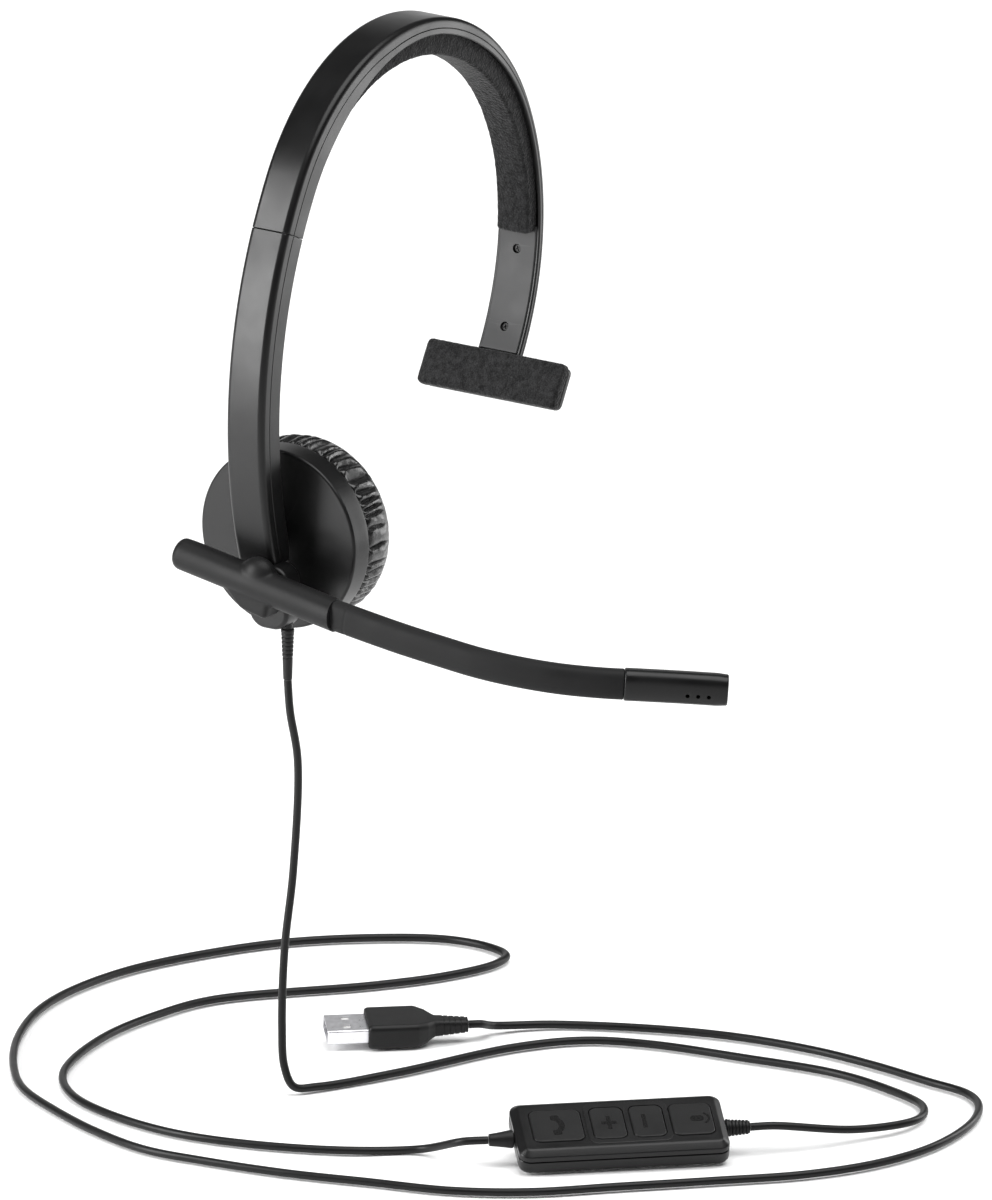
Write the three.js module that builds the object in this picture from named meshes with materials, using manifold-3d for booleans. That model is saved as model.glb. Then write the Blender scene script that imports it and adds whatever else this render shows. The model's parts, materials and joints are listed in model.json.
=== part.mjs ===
// One-ear corded office headset with an in-line controller and a USB plug.
// Millimetres, +Z up. The origin is the centre of the ear cushion's contact face.
// +X runs from the ear cup to the temple pad, and -Y is the wearer's forward direction.
import * as THREE from 'three';
import { mergeVertices } from 'three/addons/utils/BufferGeometryUtils.js';
import Module from 'manifold-3d';

const wasm = await Module();
wasm.setup();

// ---- driving dimensions -------------------------------------------------
const GAP = 0.3;                     // clearance between pieces that touch
const ARC_X = 104.3, ARC_Z = 37.2;   // centre of the arc that the size adjustment runs on
const ARC_R = 145;                   // radius of the arm's outer face
const SEAM = 155.2;                  // angle on the arc where band and arm meet, degrees
const ARM_END = 198.4;               // angle on the arc where the arm enters the hub
// the band above the seam: a chain of tangent arcs, [length, radius] of the outer face
const CROWN = [[16, 160], [21.7, 71.7], [70, 69.5], [57, 67.5], [85.4, 87.7]];
const BAND_W = 13.4, LIMB_W = 15.2;  // width along Y, at the seam and at the free end
const ARM_DEPTH = 9.6;                 // outer face to inner face of the arm
const WALL = 1.5;
const TONGUE = 40;                   // length of the size slider inside the arm

const HUB_Y = -5.8, HUB_Z = -9.5;   // boom pivot
const HUB_OUT = -35.9, HUB_IN = -28; // hub's outer and inner planes along X
const SHAFT_R = 2.8;

const CUP_R = 28, CUP_FACE = -22.7;  // ear cup radius and its outer plane
const YAW_X = -29.4, PITCH_X = -18.9;

const BAR_X = -41, BAR_R = 5;        // boom base bar
const BOOM_H = 9.3, BOOM_T = 6.4;   // section of the boom arm

const FLOOR = -169.5;                // level that the free cord lies on
const CORD_R = 1.25;

const CTRL = { L: 64, W: 26, T: 7.8, tilt: 20, turn: -46.8, x: -31.5, y: -129.3 };
const PLUG = { x: 8.8, y: 4.3, turn: -49, roll: 8, h: 5.05 };

// ---- materials ------------------------------------------------------------
const mat = (c, r, m = 0) => new THREE.MeshStandardMaterial({ color: c, roughness: r, metalness: m });
const satin = mat(0x232325, 0.42), inner = mat(0x2b2b2d, 0.5), dark = mat(0x161617, 0.6);
const fabric = mat(0x1c1c1e, 0.95), leather = mat(0x131314, 0.35), steel = mat(0xa8aaad, 0.3, 1);
const spring = mat(0x8a8c90, 0.35, 1), board = mat(0x1f5a33, 0.6);
const foil = mat(0xd8d8d0, 0.3), rubber = mat(0x1a1a1b, 0.8), jacket = mat(0x1b1b1c, 0.55);
const white = mat(0xe8e8e6, 0.5);

// ---- helpers ----------------------------------------------------------------
const rad = THREE.MathUtils.degToRad;
const V2 = (x, y) => new THREE.Vector2(x, y);
const V3 = (x, y, z) => new THREE.Vector3(x, y, z);
const headset = new THREE.Group();

function node(name, geometry, material, parent = headset) {
  const mesh = new THREE.Mesh(geometry, material);
  mesh.name = name;
  parent.add(mesh);
  return mesh;
}

function weld(geometry) {
  const g = geometry.clone();
  g.deleteAttribute('normal');
  g.deleteAttribute('uv');
  return mergeVertices(g, 1e-4);
}

function solid(geometry) {
  const g = weld(geometry);
  const s = new wasm.Manifold(new wasm.Mesh({
    numProp: 3,
    vertProperties: new Float32Array(g.attributes.position.array),
    triVerts: new Uint32Array(g.index.array),
  }));
  return s;
}

function unsolid(s) {
  const m = s.getMesh();
  const g = new THREE.BufferGeometry();
  g.setAttribute('position', new THREE.BufferAttribute(new Float32Array(m.vertProperties), 3));
  g.setIndex(new THREE.BufferAttribute(new Uint32Array(m.triVerts), 1));
  return g;
}

const join = (...gs) => unsolid(gs.map(solid).reduce((a, b) => a.add(b)));
const cut = (g, ...tools) => unsolid(tools.map(solid).reduce((a, b) => a.subtract(b), solid(g)));
const common = (a, b) => unsolid(solid(a).intersect(solid(b)));

function flipIfInside(g) {
  const p = g.attributes.position, i = g.index.array;
  let vol = 0;
  for (let k = 0; k < i.length; k += 3) {
    const a = V3().fromBufferAttribute(p, i[k]), b = V3().fromBufferAttribute(p, i[k + 1]);
    vol += a.dot(b.cross(V3().fromBufferAttribute(p, i[k + 2])));
  }
  if (vol < 0) for (let k = 0; k < i.length; k += 3) [i[k], i[k + 1]] = [i[k + 1], i[k]];
  return g;
}

// a closed solid through equal-length sections; place(t, x, y) puts a section point in space
function sweep(section, place, steps) {
  const rings = [], n = section(0).length;
  for (let k = 0; k <= steps; k++) {
    const t = k / steps;
    rings.push(section(t).map(([x, y]) => place(t, x, y)));
  }
  const pos = rings.flat().flatMap((v) => [v.x, v.y, v.z]), idx = [];
  for (let k = 0; k < steps; k++) {
    for (let j = 0; j < n; j++) {
      const a = k * n + j, b = k * n + ((j + 1) % n);
      idx.push(a, b, a + n, b, b + n, a + n);
    }
  }
  const cap = (t, base, flip) => {
    const pts = section(t).map(([x, y]) => V2(x, y));
    for (const [a, b, c] of THREE.ShapeUtils.triangulateShape(pts, [])) {
      idx.push(...(flip ? [base + a, base + c, base + b] : [base + a, base + b, base + c]));
    }
  };
  cap(0, 0, true);
  cap(1, steps * n, false);
  const g = new THREE.BufferGeometry();
  g.setAttribute('position', new THREE.Float32BufferAttribute(pos, 3));
  g.setIndex(idx);
  return flipIfInside(g);
}

// turned piece about the X axis through (y, z): profile of [x, radius]
function turned(profile, y = 0, z = 0, seg = 24) {
  const g = new THREE.LatheGeometry(profile.map(([x, r]) => V2(r, x)), seg);
  g.rotateZ(-Math.PI / 2);
  g.translate(0, y, z);
  const w = weld(g);
  return flipIfInside(w);
}
const disc = (x0, x1, r, y = 0, z = 0, seg = 20) => turned([[x0, 0], [x0, r], [x1, r], [x1, 0]], y, z, seg);
const ring = (x0, x1, r0, r1, y = 0, z = 0, seg = 20) =>
  turned([[x0, r0], [x0, r1], [x1, r1], [x1, r0], [x0, r0]], y, z, seg);

function box(x0, x1, y0, y1, z0, z1) {
  const g = new THREE.BoxGeometry(x1 - x0, y1 - y0, z1 - z0);
  g.translate((x0 + x1) / 2, (y0 + y1) / 2, (z0 + z1) / 2);
  return g;
}

function rounded(w, h, r) {
  const s = new THREE.Shape(), a = w / 2, b = h / 2;
  s.moveTo(-a + r, -b);
  s.lineTo(a - r, -b);
  s.absarc(a - r, -b + r, r, -Math.PI / 2, 0);
  s.lineTo(a, b - r);
  s.absarc(a - r, b - r, r, 0, Math.PI / 2);
  s.lineTo(-a + r, b);
  s.absarc(-a + r, b - r, r, Math.PI / 2, Math.PI);
  s.lineTo(-a, -b + r);
  s.absarc(-a + r, -b + r, r, Math.PI, Math.PI * 1.5);
  return s;
}
// slab with rounded corners in the XY plane, z0 to z1
function slab(w, h, r, z0, z1, curveSegments = 3, x = 0, y = 0) {
  const g = new THREE.ExtrudeGeometry(rounded(w, h, r), { depth: z1 - z0, bevelEnabled: false, curveSegments });
  g.translate(x, y, z0);
  return g;
}
// the same slab standing in the YZ plane, x0 to x1
function plate(w, h, r, x0, x1, y, z, curveSegments = 3) {
  const g = slab(w, h, r, x0, x1, curveSegments);
  g.applyMatrix4(new THREE.Matrix4().makeBasis(V3(0, 1, 0), V3(0, 0, 1), V3(1, 0, 0)));
  g.translate(0, y, z);
  return g;
}
const rod = (r, a, b, seg = 16) => {
  const g = new THREE.CylinderGeometry(r, r, a.distanceTo(b), seg);
  g.applyQuaternion(new THREE.Quaternion().setFromUnitVectors(V3(0, 1, 0), b.clone().sub(a).normalize()));
  g.translate((a.x + b.x) / 2, (a.y + b.y) / 2, (a.z + b.z) / 2);
  return g;
};

// ---- the band's curve: outer face in the XZ plane, s from the seam -------------
function bandFrame(s) {
  let a = rad(SEAM), x = ARC_X + ARC_R * Math.cos(a), z = ARC_Z + ARC_R * Math.sin(a);
  if (s < 0) {
    a -= s / ARC_R;
    return { x: ARC_X + ARC_R * Math.cos(a), z: ARC_Z + ARC_R * Math.sin(a), h: a - Math.PI / 2 };
  }
  let h = a - Math.PI / 2;
  for (const [len, r] of CROWN) {
    const l = Math.min(s, len);
    const cx = x + r * Math.sin(h), cz = z - r * Math.cos(h);
    h -= l / r;
    x = cx - r * Math.sin(h);
    z = cz + r * Math.cos(h);
    s -= l;
    if (s <= 0) break;
  }
  return { x, z, h };
}
const BAND_LEN = CROWN.reduce((sum, [l]) => sum + l, 0);
// s along the band, y across it, d inwards from the outer face
function onBand(s, y, d) {
  const f = bandFrame(s);
  return V3(f.x + Math.sin(f.h) * d, y, f.z - Math.cos(f.h) * d);
}
const alongBand = (s0, s1) => (t, y, d) => onBand(s0 + (s1 - s0) * t, y, d);

const ease = (t) => { const c = Math.min(1, Math.max(0, t)); return c * c * (3 - 2 * c); };
const bandWidth = (s) => BAND_W + (LIMB_W - BAND_W) * ease(s / 120);
// depth of the shell's side walls: full at the seam, shallow over the crown
const rimDepth = (s) => ARM_DEPTH + (5.2 - ARM_DEPTH) * ease((s - 30) / 75) - 1.9 * ease((s - 115) / 60);
// depth of the pad's soft face
const padDepth = (s) => 12.2 - 4.4 * ease((s - 110) / 85);

function channel(w, depth, wall, roof, r = 1.8) {
  const a = w / 2, b = a - wall, k = r * 0.3;
  return [[-a, depth], [-a, r], [-a + k, k], [-a + r, 0], [a - r, 0], [a - k, k], [a, r], [a, depth],
    [b, depth], [b, roof], [-b, roof], [-b, depth]];
}
const strip = (w, d0, d1) => [[-w / 2, d1], [-w / 2, d0], [w / 2, d0], [w / 2, d1]];
const pillow = (w, d0, d1) => [[-w / 2, d0], [w / 2, d0], [w / 2, d1 - 1.5], [w / 2 - 1, d1 - 0.4], [w / 4, d1],
  [-w / 4, d1], [-w / 2 + 1, d1 - 0.4], [-w / 2, d1 - 1.5]];

// ---- headband: slides on the arm --------------------------------------------
const PAD_FROM = 44, PAD_TO = 211, LIMB_SCREWS = [217, 242];
const at = (s0, s1) => (t) => s0 + (s1 - s0) * t;
{
  const s = at(GAP / 2, BAND_LEN);
  node('headband_shell', sweep((t) => channel(bandWidth(s(t)), rimDepth(s(t)), WALL, 1.3),
    alongBand(GAP / 2, BAND_LEN), 36), satin);
}
node('headband_spring', sweep(() => strip(9.4, 1.55, 2.15), alongBand(16, BAND_LEN - 5.6), 36), spring);
{
  const tongue = sweep(() => strip(8.8, 2.9, 6.2), alongBand(-TONGUE, 13), 14);
  const slot = sweep(() => strip(3.2, 2, 8), alongBand(4 - TONGUE, -7), 8);
  node('size_slider', cut(tongue, slot), inner);
}
node('slider_screw', rod(1.9, onBand(7, 0, 6.5), onBand(7, 0, 7.5), 12), steel);
{
  const s = at(PAD_FROM, PAD_TO);
  node('headband_pad', sweep((t) => {
    const e = ease(Math.min(1, Math.min(t, 1 - t) * 14)), d = padDepth(s(t));
    return pillow(bandWidth(s(t)) - 2 * WALL - 0.6, 2.5, d - 0.7 * (1 - e));
  }, alongBand(PAD_FROM, PAD_TO), 34), fabric);
}
// inner cover of the band between the seam and the pad, and of the free limb
node('band_inner_cover', sweep((t) => strip(bandWidth(17) - 2 * WALL - 0.6, ARM_DEPTH - 1.8,
  ARM_DEPTH - 0.4), alongBand(17, PAD_FROM - 0.6), 5), inner);
{
  const from = PAD_TO + 0.6, to = BAND_LEN - 0.3;
  const cover = sweep(() => strip(10.2, 2.5, 4.0), alongBand(from, to), 14);
  const holes = LIMB_SCREWS.map((s) => rod(1.4, onBand(s, 0, 3.1), onBand(s, 0, 6), 12));
  node('limb_inner_cover', cut(cover, ...holes), inner);
  LIMB_SCREWS.forEach((s, k) => node(`limb_screw_${k + 1}`, rod(1.1, onBand(s, 0, 3.4), onBand(s, 0, 4.1), 12), dark));
}

// temple bar: a short T at the band's free end
{
  const T = new THREE.Group();
  const f = bandFrame(BAND_LEN);
  T.position.set(f.x, 0, f.z);
  T.rotation.y = Math.atan2(-Math.cos(f.h), -Math.sin(f.h));
  headset.add(T);
  // local +X points away from the head, -Z on along the band
  const drop = -7.1;
  const bar = join(plate(49, 13.4, 2, -0.8, 1.6, 0, drop), box(-2.3, -0.7, -5, 5, drop - 3, drop + 5),
    box(-2.3, -1.6, -5, 5, drop, 5));
  node('temple_bar', bar, satin, T);
  const pad = plate(50, 14.2, 1.2, -4.9, -1.1, 0, drop);
  node('temple_pad', cut(pad, box(-2.6, 0, -5.3, 5.3, drop - 3.3, 10)), fabric, T);
}

// ---- arm and hub: the held body ----------------------------------------------
const ARM_S = -(ARM_END - SEAM) * Math.PI / 180 * ARC_R;
const EXIT = [-31.2, -9.4];            // where the upper cord leaves the hub
const hubShape = (grow, x0, x1) => plate(14.1 + 2 * grow, 20 + 2 * grow, 3.6 + grow, x0, x1, -5.25, -14.2);
{
  const body = sweep(() => channel(BAND_W, ARM_DEPTH, WALL, WALL), alongBand(ARM_S, -GAP / 2), 20);
  const hub = hubShape(0, HUB_OUT, HUB_IN);
  const pocket = hubShape(-1.4, HUB_OUT + 1.6, HUB_IN + 1);
  const way = sweep(() => strip(BAND_W - 2 * WALL, WALL, ARM_DEPTH + 1), alongBand(ARM_S + 1, -GAP / 2 + 1), 20);
  const bore = disc(HUB_OUT - 1, HUB_OUT + 3, SHAFT_R + 0.12, HUB_Y, HUB_Z);
  const seat = disc(HUB_OUT + 1.6, HUB_IN + 1, 4.3, HUB_Y, HUB_Z, 24);  // room for the washer and clip
  const trim = box(HUB_IN, -15, -30, 30, -40, -4.5);
  const room = box(-26.3, -15, -30, 30, -40, 14);      // lets the ear cup swivel
  const exit = rod(1.75, V3(...EXIT, -20), V3(...EXIT, -28));
  node('arm_shell', cut(join(body, hub), pocket, way, bore, seat, trim, room, exit), satin);
}
{
  const cover = sweep(() => strip(BAND_W - 2 * WALL - 0.6, ARM_DEPTH - 1.5, ARM_DEPTH), alongBand(ARM_S + 5, -0.6), 18);
  const neck = disc(-34, -20, 3.6, 0, 0, 20);
  node('arm_cover', cut(cover, neck, box(-26.3, -15, -30, 30, -40, 14)), inner);
}
node('hub_cover', hubShape(-1.8, HUB_IN - 1.2, HUB_IN), inner);
node('detent_spring', sweep((t) => strip(2.4, 6.55 + 0.5 * Math.sin(Math.PI * t), 6.95 + 0.5 * Math.sin(Math.PI * t)),
  alongBand(-30, -12), 8), spring);
[-50, -80].forEach((s, k) => node(`arm_screw_${k + 1}`, rod(1.8, onBand(s, 0, 2.2), onBand(s, 0, 7.2), 10), steel));
node('pivot_washer', ring(HUB_OUT + 1.9, HUB_OUT + 2.6, SHAFT_R + 0.2, 4.1, HUB_Y, HUB_Z, 24), spring);
// gland of the upper cord: a collar in the hub's wall and a tapered sleeve below it
node('hub_gland', (() => {
  const g = new THREE.LatheGeometry([V2(0, 0), V2(1.75, 0), V2(1.75, 0.8), V2(1.55, 0.8), V2(1.55, 3.9), V2(2.1, 4.1),
    V2(2.1, 5.0), V2(1.75, 7.4), V2(1.6, 20), V2(0, 20)], 16);
  g.rotateX(-Math.PI / 2);
  g.translate(...EXIT, -20.4);
  return flipIfInside(weld(g));
})(), rubber);

// ---- ear cup --------------------------------------------------------------------
// yoke: a vertical barrel in the arm and a cross barrel in the cup, joined by a neck
{
  const up = rod(1.5, V3(YAW_X, 0, -3.3), V3(YAW_X, 0, 3.3), 12);
  const neck = rod(1.5, V3(YAW_X, 0, 0), V3(PITCH_X, 0, 0), 12);
  const across = rod(1.9, V3(PITCH_X, -4.4, 0), V3(PITCH_X, 4.4, 0), 12);
  node('cup_yoke', join(up, neck, across), inner);
}
{
  const R = CUP_R;
  const cap = turned([[CUP_FACE, 0], [CUP_FACE, R - 1.1], [CUP_FACE + 0.35, R - 0.45], [CUP_FACE + 1, R - 0.1],
    [CUP_FACE + 8, R], [CUP_FACE + 8, R - 1.4], [CUP_FACE + 2.3, R - 1.6], [CUP_FACE + 1.6, R - 3],
    [CUP_FACE + 1.6, 0]], 0, 0, 32);
  node('cup_cap', cut(cap, disc(CUP_FACE - 1, CUP_FACE + 3, 3.2, 0, 0, 20)), satin);
}
node('cup_swivel_seat', cut(disc(CUP_FACE + 2, PITCH_X + 2.9, 8.5),
  rod(2.15, V3(PITCH_X, -4.7, 0), V3(PITCH_X, 4.7, 0), 12), disc(CUP_FACE, PITCH_X, 3.0, 0, 0, 20)), dark);
node('cup_baffle', turned([[-15.7, 0], [-15.7, 3], [-14.8, 3.2], [-14.8, 26.2],
  [-12.2, 26.2], [-12.2, 18.3], [-13, 18.3], [-13, 0]], 0, 0, 32), satin);
node('speaker_frame', ring(-12.7, -9.9, 15.4, 17.2), dark);
node('speaker_magnet', disc(-12.7, -9.6, 8.4), steel);
node('speaker_diaphragm', turned([[-9.3, 0], [-9.3, 4.6], [-8.9, 5], [-9.0, 15.0], [-8.7, 15.0], [-8.6, 5],
  [-8.9, 4.4], [-8.9, 0]]), foil);
node('cushion_ring', ring(-11.9, -10.5, 18.4, 26.1, 0, 0, 32), dark);
node('speaker_cloth', disc(-7.9, -7.3, 13.6, 0, 0, 32), fabric);
node('ear_cushion', turned([[0, 19.4], [0, 22.6], [-1.2, 25.6], [-3.6, 27.5], [-6.8, 28], [-14.3, 27.8],
  [-14.3, 26.5], [-10.2, 26.4], [-10.2, 19.4], [-9, 16.2], [-6.6, 14.4], [-3.6, 14.4], [-1.2, 16.2], [0, 19.4]], 0, 0, 32), leather);
[0, 120, 240].forEach((a, k) => {
  const y = 21.5 * Math.sin(rad(a)), z = 21.5 * Math.cos(rad(a));
  node(`cup_screw_${k + 1}`, turned([[-17.9, 0], [-17.9, 1.1], [-16.9, 1.1], [-16.9, 1.9], [-15.1, 1.9], [-15.1, 0]],
    y, z, 12), steel);
});

// ---- boom -------------------------------------------------------------------------
const pitch = rad(10);
const barDir = V3(0, -Math.cos(pitch), -Math.sin(pitch));
const onBar = (d) => V3(BAR_X, HUB_Y, HUB_Z + 0.9).addScaledVector(barDir, d);
{
  const bar = new THREE.CapsuleGeometry(BAR_R, 52, 3, 16);
  bar.applyQuaternion(new THREE.Quaternion().setFromUnitVectors(V3(0, -1, 0), barDir));
  const mid = onBar(0.5);
  bar.translate(mid.x, mid.y, mid.z);
  const boss = turned([[-42.5, 0], [-42.5, 6.5], [-40, 8.6], [-36.2, 9.2], [-36.2, 0]], HUB_Y, HUB_Z, 28);
  const endCut = box(-60, -20, -80, onBar(28.2).y, -60, 30);
  // the tail is relieved on its inner side, so that it passes the arm as the boom turns
  const across = V3(0, Math.sin(pitch), -Math.cos(pitch));
  const relief = sweep(() => [[8.6, -36.1], [32, -40.95], [32, -30], [8.6, -30]], (t, r, x) => {
    const p = onBar(-r).addScaledVector(across, 16 * t - 8);
    return p.setX(x);
  }, 1);
  const whole = cut(join(weld(bar), boss), endCut, relief);
  const duct = rod(1.9, onBar(-14), onBar(32), 12);
  const down = disc(BAR_X, -30, 1.5, HUB_Y, HUB_Z, 16);
  const outer = box(-60, BAR_X - GAP / 2, -60, 40, -50, 30);
  const inside = box(BAR_X + GAP / 2, -20, -60, 40, -50, 30);
  const shaft = disc(-37, -30.6, SHAFT_R, HUB_Y, HUB_Z, 24);
  const groove = ring(-32.6, -31.6, 2.1, 3.4, HUB_Y, HUB_Z, 24);
  node('boom_base_outer', cut(common(whole, outer), duct), satin);
  node('boom_base_inner', cut(join(common(whole, inside), shaft), duct, down, groove), satin);
}
node('pivot_clip', ring(-32.4, -31.8, 2.3, 4.0, HUB_Y, HUB_Z, 24), steel);

// centre line of the boom arm from the base to the mic housing
const boomLine = new THREE.CatmullRomCurve3([[-41, -33.9, -13.5], [-41, -56.4, -16.5], [-40.5, -70.7, -18.2],
  [-39.6, -84.7, -19.8], [-37.2, -97.7, -21], [-33.5, -109.8, -21.9], [-28.4, -121, -22.5], [-21.5, -131, -23.2],
  [-14.7, -141, -23.9], [-6.9, -152.1, -24.9]].map((p) => V3(...p)), false, 'centripetal');
const MIC_FROM = 0.755;
function boomFrame(u) {
  const c = Math.min(1, Math.max(0, u)), t = boomLine.getTangentAt(c);
  const p = boomLine.getPointAt(c).addScaledVector(t, (u - c) * boomLine.getLength());
  const side = V3().crossVectors(t, V3(0, 0, 1)).normalize();
  return { p, side, up: V3().crossVectors(side, t) };
}
const oval = (w, h, n = 12) => Array.from({ length: n }, (_, k) => {
  const a = (k / n) * Math.PI * 2, c = Math.cos(a), s = Math.sin(a);
  const f = 1 / Math.pow(Math.abs(c) ** 2.8 + Math.abs(s) ** 2.8, 1 / 2.8);
  return [w / 2 * c * f, h / 2 * s * f];
});
const alongBoom = (u0, u1) => (t, x, y) => {
  const f = boomFrame(u0 + (u1 - u0) * t);
  return f.p.clone().addScaledVector(f.side, x).addScaledVector(f.up, y);
};
{
  const skin = sweep(() => oval(BOOM_T, BOOM_H), alongBoom(0.002, MIC_FROM - 0.002), 14);
  const duct = sweep(() => oval(3.2, 4, 6), alongBoom(-0.02, MIC_FROM + 0.02), 14);
  node('boom_arm', cut(skin, duct), rubber);
}
{
  const full = sweep((t) => { const e = 1 - 0.16 * ease((t - 0.94) / 0.06); return oval(7.4 * e, 9.8 * e, 12); },
    alongBoom(MIC_FROM + 0.002, 1), 14);
  const cavity = sweep(() => oval(5.2, 7.4, 8), alongBoom(MIC_FROM + 0.02, 0.965), 6);
  const mouth = boomFrame(0.9);
  const opening = rod(1.6, mouth.p, mouth.p.clone().addScaledVector(mouth.side, -8), 12);
  const split = (lo, hi) => sweep(() => [[lo, -9], [hi, -9], [hi, 9], [lo, 9]], alongBoom(MIC_FROM - 0.02, 1.02), 12);
  const vents = [0.905, 0.93, 0.955].map((u) => {
    const f = boomFrame(u), out = f.side.clone().addScaledVector(f.up, -0.45);
    return rod(0.75, f.p, f.p.clone().addScaledVector(out, 8), 8);
  });
  const shell = cut(full, cavity, opening, ...vents);
  node('mic_housing_outer', cut(shell, split(-9, GAP / 2)), satin);
  node('mic_housing_inner', cut(shell, split(-GAP / 2, 9)), satin);
  const c = boomFrame(0.9);
  const put = (d) => c.p.clone().addScaledVector(c.side, d);
  node('mic_capsule', rod(2.2, put(-1.6), put(0.9), 16), steel);
  node('mic_gasket', rod(1.7, put(-2.3), put(-1.9), 12), rubber);
}

// ---- in-line controller ---------------------------------------------------------
const controller = new THREE.Group();
controller.rotation.set(rad(CTRL.tilt), 0, rad(CTRL.turn), 'ZYX');
controller.position.set(CTRL.x, CTRL.y, FLOOR + 0.1 + CTRL.W / 2 * Math.sin(rad(CTRL.tilt)));
headset.add(controller);
const AXIS = 3.75;                    // height of the cord in the controller
const KEYS = [['call_button', -19.2, 15.4], ['volume_up_button', -3.6, 10], ['volume_down_button', 8.4, 10],
  ['mute_button', 21.8, 12.6]];
{
  const { L, W, T } = CTRL, r = 3.5, zs = 4.4;
  const base = cut(slab(L, W, r, 0, zs - GAP / 2), slab(L - 3, W - 3, r - 1.5, 1.4, zs + 1),
    rod(1.8, V3(-L / 2 - 1, 0, AXIS), V3(-L / 2 + 3, 0, AXIS), 12), rod(1.8, V3(L / 2 - 3, 0, AXIS), V3(L / 2 + 1, 0, AXIS), 12));
  node('controller_base', base, satin, controller);
  const lid = cut(join(slab(L, W, r, zs + GAP / 2, T - 0.8), slab(L - 1.4, W - 1.4, r - 0.6, T - 0.9, T)),
    slab(L - 3, W - 3, r - 1.5, zs - 1, T - 1.5),
    ...KEYS.map(([, x, w]) => slab(w + 0.6, 15.6, 2.5, T - 3, T + 1, 2, x, 0)),
    rod(1.8, V3(-L / 2 - 1, 0, AXIS), V3(-L / 2 + 3, 0, AXIS), 12), rod(1.8, V3(L / 2 - 3, 0, AXIS), V3(L / 2 + 1, 0, AXIS), 12));
  node('controller_top', lid, satin, controller);
  node('controller_board', slab(50, 20, 1, 2.6, 3.8, 3), board, controller);
  for (const [name, x, w] of KEYS) {
    const key = join(slab(w, 15, 2.2, 5.7, T + 0.35, 2, x, 0), slab(w + 1.6, 16.6, 2.8, 5.5, 6.0, 2, x, 0),
      slab(3, 3, 0.5, 5.2, 5.8, 1, x, 0));
    node(name, key, rubber, controller);
  }
  const film = slab(48, 14, 1, 4.1, 4.35, 3);
  node('dome_sheet', join(film, ...KEYS.map(([, x]) => slab(5, 5, 1.5, 4.2, 4.8, 1, x, 0))), steel, controller);
  [-1, 1].forEach((s, k) => node(`controller_screw_${k + 1}`, rod(1.2, V3(s * 28, s * 8, 1.7), V3(s * 28, s * 8, 3.6), 12),
    steel, controller));
  [-1, 1].forEach((s) => {
    const g = new THREE.LatheGeometry([V2(0, 0), V2(2.15, 0), V2(2.15, 1.0), V2(1.6, 1.0), V2(1.6, 3.3), V2(2.9, 3.5),
      V2(2.7, 5), V2(1.9, 10.6), V2(0, 10.6)], 16);
    g.rotateZ(s > 0 ? -Math.PI / 2 : Math.PI / 2);
    g.translate(s * (L / 2 - 3), 0, AXIS);
    node(s > 0 ? 'controller_gland_in' : 'controller_gland_out', flipIfInside(weld(g)), rubber, controller);
  });
}

// ---- plug ---------------------------------------------------------------------------
const plug = new THREE.Group();
plug.rotation.set(rad(PLUG.roll), 0, rad(PLUG.turn), 'ZYX');
plug.position.set(PLUG.x, PLUG.y, FLOOR + PLUG.h);
headset.add(plug);
// local +X runs from the shell's mouth to the cord
{
  const lie = (g) => g.applyMatrix4(new THREE.Matrix4().makeBasis(V3(0, 1, 0), V3(0, 0, 1), V3(1, 0, 0)));
  const tube = cut(lie(slab(12, 4.5, 0.5, 0, 17.6, 2)), lie(slab(11.4, 3.9, 0.3, -1, 16.8, 2)));
  node('plug_shell', tube, steel, plug);
  const tongue = lie(slab(11, 1.8, 0.2, 0.7, 16.3, 2));
  tongue.translate(0, 0, 0.9);
  node('plug_tongue', tongue, white, plug);
  const body = join(lie(slab(15.6, 7.8, 2.4, 12.4, 30.5, 4)), lie(slab(11, 6.4, 2, 30, 34, 4)),
    lie(slab(5.6, 5.2, 1.6, 33, 43.3, 3)));
  node('plug_overmould', cut(body, lie(slab(12.6, 5.1, 0.6, 11, 17.9, 2))), rubber, plug);
}

// ---- cords: plain tubes along their lay ------------------------------------------------
const section = new THREE.Shape().absarc(0, 0, CORD_R, 0, Math.PI * 2);
function cord(name, points, steps) {
  const path = new THREE.CatmullRomCurve3(points, false, 'centripetal');
  path.arcLengthDivisions = 2000;
  node(name, new THREE.ExtrudeGeometry(section, { steps, curveSegments: 4, extrudePath: path }), jacket);
}
controller.updateMatrixWorld(true);
plug.updateMatrixWorld(true);
const fromController = (x) => controller.localToWorld(V3(x, 0, AXIS));
const flat = (list) => list.map(([x, y, h = CORD_R + 0.2]) => V3(x, y, FLOOR + h));
// upper cord: hangs from the hub, lands and runs to the controller
cord('cord_upper', [V3(...EXIT, -40.7), V3(-31.5, -10.4, -50), V3(-30, -12.2, -66), V3(-31.6, -11.6, -100),
  V3(-34.8, -10.6, -124), V3(-36.6, -10.8, -148), V3(-37, -12, -161), V3(-35.6, -14.4, -167),
  ...flat([[-29, -18.6], [-4, -31], [36, -46.5], [53, -60], [61, -78], [66, -110], [69, -140], [65, -162],
    [57, -180, 1.6], [43, -187, 2.2], [22, -179, 3.5]]), fromController(47), fromController(39.9)], 30);
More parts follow.
